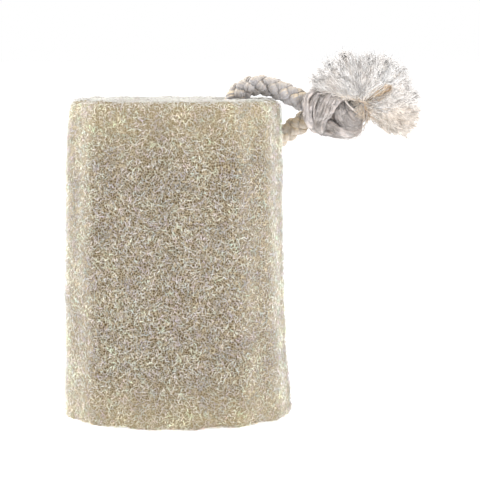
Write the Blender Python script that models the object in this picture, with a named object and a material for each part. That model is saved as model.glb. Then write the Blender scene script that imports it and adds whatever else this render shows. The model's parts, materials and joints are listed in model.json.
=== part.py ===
# A natural loofah sponge, cut to hand length and pressed to an oval, on a loop of braided
# cotton rope that ends in a knot and a frayed tassel. Metres, +Z up, the front is -Y.

import math
import random

import bmesh
import bpy
import numpy as np
from mathutils import Matrix, Vector, noise

# Sponge: an oval column, a little wider at its lower end
SPONGE_HEIGHT = 0.150
BOTTOM_HALF_WIDTH = 0.0540
TOP_HALF_WIDTH = 0.0494
WAIST = 0.0005
BOTTOM_HALF_DEPTH = 0.0365
TOP_HALF_DEPTH = 0.0335
OUTLINE_POWER = 2.2
RIM_RADIUS = 0.0030

# Raised net: a grid wrapped over the column and its ends, with every other point pushed in,
# so that crests run slantwise both ways and cross round each pit
GRID_ACROSS = 18
GRID_UP = 40
PIT_DEPTH = 0.0027
PIT_SPREAD = 0.55
RIM_SHARE = 0.5
CREST_WANDER = 0.0010
CREST_LIFT = 0.0003
SWAY = 0.0026
SWAY_LENGTH = 0.011
RIM_COLUMNS = 1.5
FLAT_CORE = 0.22

# Soft relief under the net: ribs with a slight twist, and two waves of lumps, each given as
# waves round the fruit, turn per metre of height and start
RIB_COUNT = 14
RIB_HEIGHT = 0.0005
RIB_TWIST = 4
RIB_START = 0.9
LUMP_HEIGHT = 0.0005
LUMP_WAVES = ((3, 37, 0.0), (5, -61, 1.7))

# Seed channels, which run the whole length round a solid core
CHANNEL_WALL_WAVE = 0.0006
CHANNEL_WAVES_ROUND = 3
CHANNEL_WAVE_TWIST = 90
CHANNEL_SIDES = 20
CHANNEL_RINGS = 7
CHANNELS = (
    {"centre": (0.0255, 0.0005), "half_length": 0.0085, "half_width": 0.0062, "turn": 0},
    {"centre": (-0.0170, 0.0125), "half_length": 0.0085, "half_width": 0.0055, "turn": 160},
    {"centre": (-0.0175, -0.0120), "half_length": 0.0085, "half_width": 0.0055, "turn": 20},
)

# Rope, from the knot down its lower leg, in at the side, up the right channel and over to the knot
ROPE_DIAMETER = 0.0093
ROPE_POINTS = 26
ROPE_SIDES_SETTING = 3
ROPE_ROUTE = (
    (0.0632, 0.0058, 0.1406),
    (0.0580, 0.0074, 0.1370),
    (0.0530, 0.0090, 0.1338),
    (0.0480, 0.0103, 0.1306),
    (0.0408, 0.0102, 0.1284),
    (0.0338, 0.0078, 0.1301),
    (0.0289, 0.0045, 0.1351),
    (0.0270, 0.0018, 0.1418),
    (0.0284, 0.0010, 0.1505),
    (0.0322, 0.0010, 0.1543),
    (0.0370, 0.0008, 0.1560),
    (0.0425, 0.0006, 0.1560),
    (0.0480, 0.0004, 0.1544),
    (0.0533, 0.0000, 0.1520),
    (0.0590, -0.0008, 0.1493),
    (0.0632, -0.0015, 0.1475),
)
SEAT_GAP = 0.0004

# Knot: a core along the two legs, and turns of the loosened rope round it, each an oval ring
# or an open run
KNOT_CORE = {"radius": 0.0049, "route": ((0.0640, 0.0, 0.1445), (0.0720, 0.0, 0.1440),
                                         (0.0815, 0.0005, 0.1440))}
KNOT_RINGS = (
    {"radius": 0.0043, "centre": (0.0660, 0.0010, 0.1441), "across": 0.0064, "along": 0.0062, "lean": 96},
    {"radius": 0.0046, "centre": (0.0737, 0.0004, 0.1433), "across": 0.0060, "along": 0.0070, "lean": 52},
)
KNOT_RUNS = (
    {"radius": 0.0046, "route": ((0.0725, -0.0040, 0.1475), (0.0780, -0.0066, 0.1432),
                                 (0.0832, -0.0050, 0.1382), (0.0852, 0.0000, 0.1356),
                                 (0.0815, 0.0045, 0.1364), (0.0755, 0.0050, 0.1385))},
    {"radius": 0.0043, "route": ((0.0700, 0.0000, 0.1496), (0.0765, -0.0008, 0.1494),
                                 (0.0822, 0.0016, 0.1476), (0.0850, 0.0048, 0.1438),
                                 (0.0835, 0.0040, 0.1378))},
)
RUN_POINTS = 9
RING_POINTS = 18

# Tassel: the unlaid end of the rope, which opens from a short neck into a flattened fan of yarn.
# A dense ridged dome holds its middle, and locks of yarn stand out of it all round
NECK_START = (0.0835, -0.0002, 0.1462)
NECK_END = (0.0885, -0.0004, 0.1484)
NECK_RADIUS = 0.0046
NECK_SUNK = 0.006
FAN_TILT = 60
FAN_HALF_ANGLE = 100
FAN_SOFT_EDGE = 24
DOME_STRANDS = 26
DOME_RINGS = 11
DOME_REACH = 0.0212
DOME_FRONT_REACH = 0.0075
DOME_BACK_REACH = 0.0050
DOME_RIDGE = 0.0007
FAN_DEPTH_SCALE = 0.90
LOCK_LAYERS = ((-55, 15), (-33, 21), (-12, 26), (11, 26), (32, 21), (54, 15))
LOCK_REACH = 0.0264
LOCK_SPREAD = 0.10
LOCK_ROOT_SHARE = 0.72
LOCK_FLATTENING = 0.72
LOCK_RADIUS = 0.0018
LOCK_TIP_RADIUS = 0.0006
LOCK_POINTS = 4
LOCK_SIDES_SETTING = 0
LOCK_BOW = 0.0012
LOCK_SWING = 0.0034
LOCK_TURN_SPREAD = 0.3
LOCK_RISE_SPREAD = 8
KNOT_GUARD = ((0.0745, 0.0, 0.1425), (0.0175, 0.0138, 0.0148))

SPONGE_SEED = 41
TASSEL_SEED = 45
TIDY_DISTANCE = 0.00002
# How finely curves are read, how far cutters run past the ends, and the angle kept sharp
ROUTE_STEPS = 24
OUTLINE_STEPS = 2880
CUTTER_SPARE = 0.006
SMOOTH_ANGLE = 50


def clear_scene():
    for thing in list(bpy.data.objects):
        bpy.data.objects.remove(thing, do_unlink=True)


def new_collection(name):
    group = bpy.data.collections.new(name)
    bpy.context.scene.collection.children.link(group)
    return group


def new_material(name, colour, roughness):
    finish = bpy.data.materials.new(name)
    finish.use_nodes = True
    shader = finish.node_tree.nodes["Principled BSDF"]
    shader.inputs["Base Color"].default_value = (*colour, 1.0)
    shader.inputs["Roughness"].default_value = roughness
    shader.inputs["Metallic"].default_value = 0.0
    return finish


def add_object(name, data, group):
    thing = bpy.data.objects.new(name, data)
    group.objects.link(thing)
    return thing


def add_bmesh(name, shape, group):
    mesh = bpy.data.meshes.new(name)
    shape.to_mesh(mesh)
    shape.free()
    return add_object(name, mesh, group)


def as_cutter(thing):
    thing.hide_render = True
    thing.display_type = "WIRE"
    return thing


def smooth_route(points, count):
    """Evenly spaced points on a smooth curve through the given ones."""
    stops = [Vector(point) for point in points]
    stops = [2 * stops[0] - stops[1]] + stops + [2 * stops[-1] - stops[-2]]
    dense = []
    for before, start, end, after in zip(stops, stops[1:], stops[2:], stops[3:]):
        for step in range(ROUTE_STEPS):
            t = step / ROUTE_STEPS
            dense.append(
                0.5 * (2 * start + (end - before) * t
                       + (2 * before - 5 * start + 4 * end - after) * t ** 2
                       + (3 * start - before - 3 * end + after) * t ** 3)
            )
    dense.append(stops[-2])
    lengths = [(b - a).length for a, b in zip(dense, dense[1:])]
    travelled = np.concatenate([[0.0], np.cumsum(lengths)])
    wanted = np.linspace(0.0, travelled[-1], count)
    columns = [np.interp(wanted, travelled, [point[axis] for point in dense]) for axis in range(3)]
    return [Vector(point) for point in zip(*columns)]


def lengthened(points, extra):
    """The same points with both ends carried on by a little."""
    first = points[0] + (points[0] - points[1]).normalized() * extra
    last = points[-1] + (points[-1] - points[-2]).normalized() * extra
    return [first] + list(points[1:-1]) + [last]


def tube(name, points, radii, group, sides_setting, closed=False):
    """A curve object with a round section and filled ends."""
    curve = bpy.data.curves.new(name, "CURVE")
    curve.dimensions = "3D"
    curve.bevel_depth = 1.0
    curve.bevel_resolution = sides_setting
    curve.use_fill_caps = not closed
    spline = curve.splines.new("POLY")
    spline.points.add(len(points) - 1)
    spline.use_cyclic_u = closed
    for place, point, radius in zip(spline.points, points, radii):
        place.co = (*point, 1.0)
        place.radius = radius
    return add_object(name, curve, group)


def made_mesh(thing, group):
    """The object's evaluated shape as a welded mesh object in its place."""
    name = thing.name
    view = bpy.context.evaluated_depsgraph_get()
    mesh = bpy.data.meshes.new_from_object(thing.evaluated_get(view))
    place = thing.matrix_world.copy()
    bpy.data.objects.remove(thing, do_unlink=True)
    shape = bmesh.new()
    shape.from_mesh(mesh)
    bpy.data.meshes.remove(mesh)
    bmesh.ops.remove_doubles(shape, verts=shape.verts, dist=TIDY_DISTANCE)
    bmesh.ops.recalc_face_normals(shape, faces=shape.faces)
    solid = add_bmesh(name, shape, group)
    solid.matrix_world = place
    return solid


def combine(thing, other, operation, solver="EXACT"):
    """Boolean with one object or with a whole collection, applied."""
    cut = thing.modifiers.new(operation.lower(), "BOOLEAN")
    cut.operation = operation
    cut.solver = solver
    if isinstance(other, bpy.types.Collection):
        cut.operand_type = "COLLECTION"
        cut.collection = other
    else:
        cut.object = other
    view = bpy.context.evaluated_depsgraph_get()
    mesh = bpy.data.meshes.new_from_object(thing.evaluated_get(view))
    thing.modifiers.clear()
    thing.data = mesh


def drop_collection(group):
    for thing in list(group.objects):
        bpy.data.objects.remove(thing, do_unlink=True)
    bpy.data.collections.remove(group)


def keep_largest_piece(thing):
    """Scraps of net that a cut has left loose are dropped."""
    shape = bmesh.new()
    shape.from_mesh(thing.data)
    unseen = set(shape.verts)
    pieces = []
    while unseen:
        front = [unseen.pop()]
        piece = list(front)
        while front:
            for edge in front.pop().link_edges:
                for vert in edge.verts:
                    if vert in unseen:
                        unseen.remove(vert)
                        front.append(vert)
                        piece.append(vert)
        pieces.append(piece)
    pieces.sort(key=len)
    for piece in pieces[:-1]:
        bmesh.ops.delete(shape, geom=piece, context="VERTS")
    shape.to_mesh(thing.data)
    shape.free()


def outline_angles():
    """Shares of the way round the oval, by length, and the angles that they stand at."""
    angles = np.linspace(0.0, 2 * math.pi, OUTLINE_STEPS + 1)
    squash = 2 / OUTLINE_POWER
    x = np.sign(np.cos(angles)) * np.abs(np.cos(angles)) ** squash * BOTTOM_HALF_WIDTH
    y = np.sign(np.sin(angles)) * np.abs(np.sin(angles)) ** squash * BOTTOM_HALF_DEPTH
    travelled = np.concatenate([[0.0], np.cumsum(np.hypot(np.diff(x), np.diff(y)))])
    return travelled / travelled[-1], angles


def outline_point(angle, height):
    """A point on the oval at this height, before ribs and lumps."""
    rise = height / SPONGE_HEIGHT
    waist = WAIST * math.sin(math.pi * rise)
    half_width = BOTTOM_HALF_WIDTH + (TOP_HALF_WIDTH - BOTTOM_HALF_WIDTH) * rise - waist
    half_depth = BOTTOM_HALF_DEPTH + (TOP_HALF_DEPTH - BOTTOM_HALF_DEPTH) * rise - waist
    squash = 2 / OUTLINE_POWER
    x = math.copysign(abs(math.cos(angle)) ** squash, math.cos(angle)) * half_width
    y = math.copysign(abs(math.sin(angle)) ** squash, math.sin(angle)) * half_depth
    return Vector((x, y, 0.0))


def relief(share_round, height):
    """Ribs along the fruit and soft lumps, as an offset from the oval."""
    turn = 2 * math.pi * share_round
    ribs = math.cos(RIB_COUNT * turn + RIB_TWIST * height + RIB_START)
    lumps = [math.sin(waves * turn + twist * height + start) for waves, twist, start in LUMP_WAVES]
    return RIB_HEIGHT * ribs + LUMP_HEIGHT * sum(lumps) / len(lumps)


def way_round(x, y):
    """Share of the way round a square, from the middle of its +X side, anticlockwise."""
    if abs(x) >= abs(y):
        return (y / x / 8) % 1.0 if x > 0 else 0.5 + y / x / 8
    return 0.25 - x / y / 8 if y > 0 else 0.75 - x / y / 8


def column_point(x, y, z, angles):
    """Where a point of the grid on a cube from -1 to 1 lies on the smooth column."""
    reach = max(abs(x), abs(y))
    if reach == 0.0:
        return Vector((0.0, 0.0, SPONGE_HEIGHT if z > 0 else 0.0))
    share_round = way_round(x, y)
    angle = np.interp(share_round, *angles)
    on_edge = reach == 1.0 and abs(z) == 1.0
    corner = RIM_RADIUS * (1 - math.sqrt(0.5))
    drop = RIM_RADIUS if abs(z) < 1.0 else corner if on_edge else 0.0
    inset = 0.0 if abs(z) < 1.0 else corner if on_edge else RIM_RADIUS
    if abs(z) < 1.0:
        rows = (GRID_UP - 2) / GRID_UP
        height = SPONGE_HEIGHT / 2 + z / rows * (SPONGE_HEIGHT / 2 - drop)
    else:
        height = SPONGE_HEIGHT - drop if z > 0 else drop
    outer = 1.0 if reach == 1.0 else reach * GRID_ACROSS / (GRID_ACROSS - 2)
    flat = outline_point(angle, height)
    distance = (flat.length + relief(share_round, height) - inset) * outer
    return flat.normalized() * distance + Vector((0.0, 0.0, height))


def net_shape(draw):
    """The column with its raised net, as a closed mesh."""
    angles = outline_angles()
    shape = bmesh.new()
    bmesh.ops.create_cube(shape, size=2.0)
    upright = [edge for edge in shape.edges if edge.verts[0].co.z != edge.verts[1].co.z]
    level = [edge for edge in shape.edges if edge not in upright]
    bmesh.ops.subdivide_edges(shape, edges=level, cuts=GRID_ACROSS - 1, use_grid_fill=True)
    upright = [edge for edge in shape.edges if abs(edge.verts[0].co.z - edge.verts[1].co.z) > 1.0]
    bmesh.ops.subdivide_edges(shape, edges=upright, cuts=GRID_UP - 1, use_grid_fill=True)
    places = {}
    for vert in shape.verts:
        columns = [round((vert.co[axis] + 1) / 2 * GRID_ACROSS) for axis in range(2)]
        row = round((vert.co.z + 1) / 2 * GRID_UP)
        pit = (sum(columns) + row) % 2 == 1
        x, y = [2 * column / GRID_ACROSS - 1 for column in columns]
        places[vert] = (x, y, 2 * row / GRID_UP - 1, pit)
    for face in list(shape.faces):
        crests = [vert for vert in face.verts if not places[vert][3]]
        bmesh.utils.face_split(face, *crests)
    for vert, (x, y, z, pit) in places.items():
        vert.co = column_point(x, y, z, angles)
    bmesh.ops.recalc_face_normals(shape, faces=shape.faces)
    shape.normal_update()
    moves = {vert: net_move(vert, *place, draw) for vert, place in places.items()}
    for vert, move in moves.items():
        vert.co += move
        vert.co.z = min(max(vert.co.z, 0.0), SPONGE_HEIGHT)
    return shape


def net_move(vert, x, y, z, pit, draw):
    """Pits go in, and crest points wander along the surface and lift a little off it."""
    if z == -1.0 and max(abs(x), abs(y)) < FLAT_CORE:
        return Vector((0.0, 0.0, 0.0))
    normal = vert.normal.copy()
    on_end = abs(z) == 1.0
    on_rim = on_end and max(abs(x), abs(y)) > 1 - 2 * RIM_COLUMNS / GRID_ACROSS
    softer = RIM_SHARE if on_rim else 1.0
    wander = Vector([draw.uniform(-1, 1) for axis in range(3)]) * CREST_WANDER
    wander += noise.noise_vector(vert.co / SWAY_LENGTH) * SWAY
    wander -= normal * wander.dot(normal)
    if pit:
        depth = PIT_DEPTH * softer * draw.uniform(1 - PIT_SPREAD, 1 + PIT_SPREAD)
        return wander * softer - normal * depth
    lift = 0.0 if on_end else draw.uniform(-1, 1) * CREST_LIFT
    return wander * softer + normal * lift


def channel_cutter(channel, group):
    """An oval bar, a little wavy along its length, that runs past both ends."""
    shape = bmesh.new()
    length = SPONGE_HEIGHT + 2 * CUTTER_SPARE
    bmesh.ops.create_cone(
        shape, cap_ends=True, segments=CHANNEL_SIDES, radius1=1.0, radius2=1.0, depth=length)
    sides = [edge for edge in shape.edges if abs(edge.verts[0].co.z - edge.verts[1].co.z) > length / 2]
    bmesh.ops.subdivide_edges(shape, edges=sides, cuts=CHANNEL_RINGS)
    turn = Matrix.Rotation(math.radians(channel["turn"]), 3, "Z")
    centre = Vector((*channel["centre"], SPONGE_HEIGHT / 2))
    for vert in shape.verts:
        around = math.atan2(vert.co.y, vert.co.x)
        phase = CHANNEL_WAVES_ROUND * around + CHANNEL_WAVE_TWIST * vert.co.z + channel["turn"]
        wave = CHANNEL_WALL_WAVE * math.sin(phase)
        x = vert.co.x * (channel["half_length"] + wave)
        y = vert.co.y * (channel["half_width"] + wave)
        vert.co = turn @ Vector((x, y, vert.co.z)) + centre
    bmesh.ops.triangulate(shape, faces=[face for face in shape.faces if len(face.verts) == 4])
    return as_cutter(add_bmesh("channel_cutter", shape, group))


def rope_tube(name, group, extra_radius=0.0, extra_length=0.0):
    points = smooth_route(ROPE_ROUTE, ROPE_POINTS)
    if extra_length:
        points = lengthened(points, extra_length)
    radii = [ROPE_DIAMETER / 2 + extra_radius] * ROPE_POINTS
    return tube(name, points, radii, group, ROPE_SIDES_SETTING)


def make_sponge(parts, cutters, finish):
    shape = net_shape(random.Random(SPONGE_SEED))
    low = [min(vert.co[axis] for vert in shape.verts) for axis in range(2)]
    high = [max(vert.co[axis] for vert in shape.verts) for axis in range(2)]
    centre = Vector(((low[0] + high[0]) / 2, (low[1] + high[1]) / 2, 0.0))
    bmesh.ops.translate(shape, verts=shape.verts, vec=-centre)
    sponge = add_bmesh("loofah_sponge", shape, parts)
    for channel in CHANNELS:
        combine(sponge, channel_cutter(channel, cutters), "DIFFERENCE")
    tunnel = made_mesh(rope_tube("tunnel_cutter", cutters, SEAT_GAP), cutters)
    combine(sponge, as_cutter(tunnel), "DIFFERENCE")
    keep_largest_piece(sponge)
    sponge.data.materials.clear()
    sponge.data.materials.append(finish)
    sponge.data.shade_flat()
    return sponge


def make_rope(parts, finish):
    rope = rope_tube("rope_loop", parts)
    rope.data.materials.append(finish)
    return rope


def ring_points(ring):
    """Points round an oval ring that leans in the plane of the knot's front."""
    lean = math.radians(ring["lean"])
    along = Vector((math.cos(lean), 0.0, math.sin(lean)))
    across = Vector((0.0, 1.0, 0.0))
    points = []
    for step in range(RING_POINTS):
        turn = 2 * math.pi * step / RING_POINTS
        points.append(Vector(ring["centre"]) + along * (ring["along"] * math.cos(turn))
                      + across * (ring["across"] * math.sin(turn)))
    return points


def run_tube(name, run, group):
    points = smooth_route(run["route"], RUN_POINTS)
    return made_mesh(tube(name, points, [run["radius"]] * RUN_POINTS, group, ROPE_SIDES_SETTING), group)


def neck_tube(name, group, extra_radius=0.0, extra_length=0.0):
    """The tassel's neck, with its far end sunk in the dome."""
    start, end = Vector(NECK_START), Vector(NECK_END)
    along = (end - start).normalized()
    points = [start - along * extra_length, end + along * NECK_SUNK]
    radii = [NECK_RADIUS + extra_radius] * 2
    return made_mesh(tube(name, points, radii, group, ROPE_SIDES_SETTING), group)


def make_knot(parts, cutters, finish):
    turns = new_collection("knot_turns")
    for index, ring in enumerate(KNOT_RINGS):
        points = ring_points(ring)
        radii = [ring["radius"]] * RING_POINTS
        made_mesh(tube(f"ring_{index}", points, radii, turns, ROPE_SIDES_SETTING, True), turns)
    for index, run in enumerate(KNOT_RUNS):
        run_tube(f"run_{index}", run, turns)
    knot = run_tube("rope_knot", KNOT_CORE, parts)
    combine(knot, turns, "UNION")
    drop_collection(turns)
    rope_seat = made_mesh(rope_tube("rope_seat_cutter", cutters, SEAT_GAP, SEAT_GAP), cutters)
    neck_seat = neck_tube("neck_seat_cutter", cutters, SEAT_GAP, SEAT_GAP)
    for seat in (rope_seat, neck_seat):
        combine(knot, as_cutter(seat), "DIFFERENCE")
    keep_largest_piece(knot)
    knot.data.materials.clear()
    knot.data.materials.append(finish)
    knot.data.shade_smooth()
    knot.data.set_sharp_from_angle(angle=math.radians(SMOOTH_ANGLE))
    return knot


def fan_direction(turn, rise):
    """Unit direction at a turn in the plane of the fan and a rise out of it, in degrees."""
    turn, rise = math.radians(turn), math.radians(rise)
    return Vector((math.cos(turn) * math.cos(rise), math.sin(rise), math.sin(turn) * math.cos(rise)))


def fan_point(direction, reach):
    """A point of the tassel at this reach from the end of the neck."""
    place = direction * reach
    place.y *= FAN_DEPTH_SCALE
    return Vector(NECK_END) + place


def dome_reach(direction):
    """Full reach over the fan, drawn in behind it, and low in front of and behind the neck."""
    off_axis = math.degrees(math.atan2(direction.z, direction.x)) - FAN_TILT
    off_axis = abs((off_axis + 180) % 360 - 180)
    inside = min(1.0, max(0.0, 0.5 + (FAN_HALF_ANGLE - off_axis) / FAN_SOFT_EDGE))
    side_reach = DOME_BACK_REACH + (DOME_REACH - DOME_BACK_REACH) * inside
    flat = math.hypot(direction.x, direction.z)
    return DOME_FRONT_REACH + (side_reach - DOME_FRONT_REACH) * flat


def clear_of_knot(point):
    """A point that would touch the knot is moved out past it."""
    centre, sizes = Vector(KNOT_GUARD[0]), Vector(KNOT_GUARD[1])
    offset = point - centre
    scaled = Vector([offset[axis] / sizes[axis] for axis in range(3)])
    if scaled.length >= 1.0:
        return point
    return centre + offset / scaled.length


def lock_points(turn, rise, draw):
    """One lock: from inside the dome out past it, turning into the fan's plane, with a bow."""
    outward = fan_direction(turn, rise)
    sideways = outward.cross(Vector([draw.uniform(-1, 1) for axis in range(3)])).normalized()
    reach = LOCK_REACH * draw.uniform(1 - LOCK_SPREAD, 1.0)
    start = dome_reach(outward) * LOCK_ROOT_SHARE
    points = []
    for step in range(LOCK_POINTS):
        share = step / (LOCK_POINTS - 1)
        heading = fan_direction(turn, rise * (1 + (LOCK_FLATTENING - 1) * share))
        point = fan_point(heading, start + (reach - start) * share)
        point += sideways * (LOCK_BOW * math.sin(math.pi * share) + LOCK_SWING * share ** 2)
        points.append(clear_of_knot(point))
    return points


def tassel_locks(draw):
    """Points of every lock, layer by layer through the depth of the fan."""
    for rise, count in LOCK_LAYERS:
        step = 2 * FAN_HALF_ANGLE / count
        for index in range(count):
            place = index + 0.5 + draw.uniform(-LOCK_TURN_SPREAD, LOCK_TURN_SPREAD)
            turn = FAN_TILT - FAN_HALF_ANGLE + step * place
            yield lock_points(turn, rise + draw.uniform(-LOCK_RISE_SPREAD, LOCK_RISE_SPREAD), draw)


def dome_shape():
    """The dense middle of the tassel, with strands as ridges that spread from the neck."""
    shape = bmesh.new()
    bmesh.ops.create_uvsphere(shape, u_segments=2 * DOME_STRANDS, v_segments=DOME_RINGS, radius=1.0)
    upright = Matrix.Rotation(math.radians(90), 3, "X")
    for vert in shape.verts:
        column = round(math.atan2(vert.co.y, vert.co.x) / math.pi * DOME_STRANDS)
        direction = upright @ vert.co.normalized()
        flat = math.hypot(direction.x, direction.z)
        ridge = DOME_RIDGE * flat * (1 if column % 2 else -1)
        vert.co = clear_of_knot(fan_point(direction, dome_reach(direction) + ridge))
    return shape


def make_tassel(parts, finish):
    draw = random.Random(TASSEL_SEED)
    locks = new_collection("tassel_locks")
    for points in tassel_locks(draw):
        shares = [step / (LOCK_POINTS - 1) for step in range(LOCK_POINTS)]
        radii = [LOCK_RADIUS + (LOCK_TIP_RADIUS - LOCK_RADIUS) * share ** 2 for share in shares]
        made_mesh(tube("lock", points, radii, locks, LOCK_SIDES_SETTING), locks)
    neck_tube("neck", locks)
    tassel = add_bmesh("rope_tassel", dome_shape(), parts)
    combine(tassel, locks, "UNION", "MANIFOLD")
    drop_collection(locks)
    keep_largest_piece(tassel)
    tassel.data.materials.clear()
    tassel.data.materials.append(finish)
    tassel.data.shade_flat()
    return tassel


def build():
    clear_scene()
    parts = new_collection("loofah_sponge_on_rope")
    cutters = new_collection("cutters")
    loofah = new_material("loofah_fibre", (0.58, 0.50, 0.36), 0.85)
    cotton = new_material("cotton_rope", (0.74, 0.70, 0.64), 0.9)
    yarn = new_material("cotton_yarn", (0.80, 0.77, 0.72), 0.9)
    make_sponge(parts, cutters, loofah)
    make_rope(parts, cotton)
    make_knot(parts, cutters, cotton)
    make_tassel(parts, yarn)


build()
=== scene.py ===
# Natural loofah sponge on a loop of braided cotton rope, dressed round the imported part.
import json
import math

import bmesh
import bpy
import numpy as np
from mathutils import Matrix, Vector, kdtree, noise
from mathutils.bvhtree import BVHTree

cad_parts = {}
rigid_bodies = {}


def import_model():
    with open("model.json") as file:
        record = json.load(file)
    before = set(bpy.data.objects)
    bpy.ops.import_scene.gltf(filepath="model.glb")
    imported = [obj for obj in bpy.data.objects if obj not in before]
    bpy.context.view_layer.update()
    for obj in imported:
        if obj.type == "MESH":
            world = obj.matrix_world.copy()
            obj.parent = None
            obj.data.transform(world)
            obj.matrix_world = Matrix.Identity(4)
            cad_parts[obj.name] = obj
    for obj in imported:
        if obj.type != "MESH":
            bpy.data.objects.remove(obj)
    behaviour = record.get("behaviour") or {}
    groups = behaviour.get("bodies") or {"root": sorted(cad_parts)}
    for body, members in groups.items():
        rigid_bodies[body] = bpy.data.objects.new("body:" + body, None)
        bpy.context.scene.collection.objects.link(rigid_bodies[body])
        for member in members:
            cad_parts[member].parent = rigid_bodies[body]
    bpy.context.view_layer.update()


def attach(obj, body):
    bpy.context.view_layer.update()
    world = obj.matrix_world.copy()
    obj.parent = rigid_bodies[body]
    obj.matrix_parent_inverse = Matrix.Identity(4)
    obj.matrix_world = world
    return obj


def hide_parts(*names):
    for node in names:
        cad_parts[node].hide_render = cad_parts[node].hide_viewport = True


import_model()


# Small helpers

def takeHold(piece):
    bpy.ops.object.select_all(action="DESELECT")
    piece.select_set(True)
    bpy.context.view_layer.objects.active = piece


def removePiece(piece):
    bpy.data.objects.remove(piece, do_unlink=True)


def applyAll(piece):
    takeHold(piece)
    for modifier in list(piece.modifiers):
        bpy.ops.object.modifier_apply(modifier=modifier.name)


def freezePlace(piece):  # the place goes into the mesh, and the object back to the origin
    takeHold(piece)
    bpy.ops.object.transform_apply(location=True, rotation=True, scale=True)


def evenFaces(piece, size):
    remesh = piece.modifiers.new("evenFaces", "REMESH")
    remesh.mode = "VOXEL"
    remesh.voxel_size = size
    applyAll(piece)


def selectVerts(piece, wanted):  # in edit mode
    shape = bmesh.from_edit_mesh(piece.data)
    shape.select_mode = {"VERT"}
    for vert in shape.verts:
        vert.select_set(bool(wanted(vert)))
    shape.select_flush_mode()
    bmesh.update_edit_mesh(piece.data)


def meshPoints(mesh, what="co"):
    values = np.empty(len(mesh.vertices) * 3)
    mesh.vertices.foreach_get(what, values)
    return values.reshape(-1, 3)


def setPoints(mesh, points):
    mesh.vertices.foreach_set("co", np.ascontiguousarray(points, dtype=np.float32).ravel())
    mesh.update()


def addAttribute(mesh, name, values):
    attribute = mesh.attributes.new(name, "FLOAT", "POINT")
    attribute.data.foreach_set("value", np.asarray(values, dtype=np.float32))


def addPiece(name, data):
    piece = bpy.data.objects.new(name, data)
    bpy.context.scene.collection.objects.link(piece)
    return piece


def noiseAt(points, size, shift=0.0):
    return np.array([noise.noise(Vector(point) / size + Vector((shift, shift, shift))) for point in points])


def noiseSum(points, waves):  # each wave has its size in metres, its share and a shift
    return sum(share * noiseAt(points, size, shift) for size, share, shift in waves)


def unit(vectors):
    return vectors / np.maximum(np.linalg.norm(vectors, axis=-1, keepdims=True), 1e-12)


def offLine(points, start, end):  # the way to each point from the nearest place on a straight line
    start, way = np.array(start), np.array(end) - np.array(start)
    share = np.clip((points - start) @ way / way.dot(way), 0, 1)
    return points - start - share[:, None] * way


def smoothRoute(stops, count, closed=False):  # evenly spaced points on a smooth curve through the given ones
    stops = np.array(stops, dtype=float)
    if closed:
        stops = np.vstack([stops[-1], stops, stops[:2]])
    else:
        stops = np.vstack([2 * stops[0] - stops[1], stops, 2 * stops[-1] - stops[-2]])
    shares = np.linspace(0, 1, 24, endpoint=False)[:, None]
    dense = []
    for before, start, end, after in zip(stops, stops[1:], stops[2:], stops[3:]):
        dense.append(0.5 * (2 * start + (end - before) * shares
                            + (2 * before - 5 * start + 4 * end - after) * shares ** 2
                            + (3 * start - before - 3 * end + after) * shares ** 3))
    dense = np.vstack(dense + [stops[-2:-1]])
    travelled = np.concatenate([[0], np.cumsum(np.linalg.norm(np.diff(dense[:, :3], axis=0), axis=1))])
    wanted = np.linspace(0, travelled[-1], count, endpoint=not closed)
    return np.stack([np.interp(wanted, travelled, column) for column in dense.T], axis=1)


def routeLength(points):
    return float(np.linalg.norm(np.diff(points, axis=0), axis=1).sum())


def headingOf(points, closed=False):
    if closed:
        return unit(np.roll(points, -1, axis=0) - np.roll(points, 1, axis=0))
    return unit(np.gradient(points, axis=0))


def carriedSide(heading):  # a side direction that doesn't twist along the line
    side = np.empty_like(heading)
    side[0] = unit(np.cross(heading[0], (0.0, 0.0, 1.0)))
    for index in range(1, len(heading)):
        side[index] = unit(side[index - 1] - heading[index] * side[index - 1].dot(heading[index]))
    return side


# Camera, at the photograph's viewing angle

photoView = {"place": (0.0306, -0.6124, 0.17355), "lookDown": 8.404, "lens": 97.6, "filmWidth": 36}


def addCamera():
    bpy.ops.object.camera_add(location=photoView["place"],
                              rotation=(math.radians(90 - photoView["lookDown"]), 0, 0))
    camera = bpy.context.object
    camera.name = "photoCamera"
    camera.data.lens = photoView["lens"]
    camera.data.sensor_width = photoView["filmWidth"]
    bpy.context.scene.camera = camera


addCamera()
print("camera placed")


# Tubes of yarn, used for the rope's strands, the knot's turns and the tassel's locks

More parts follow.
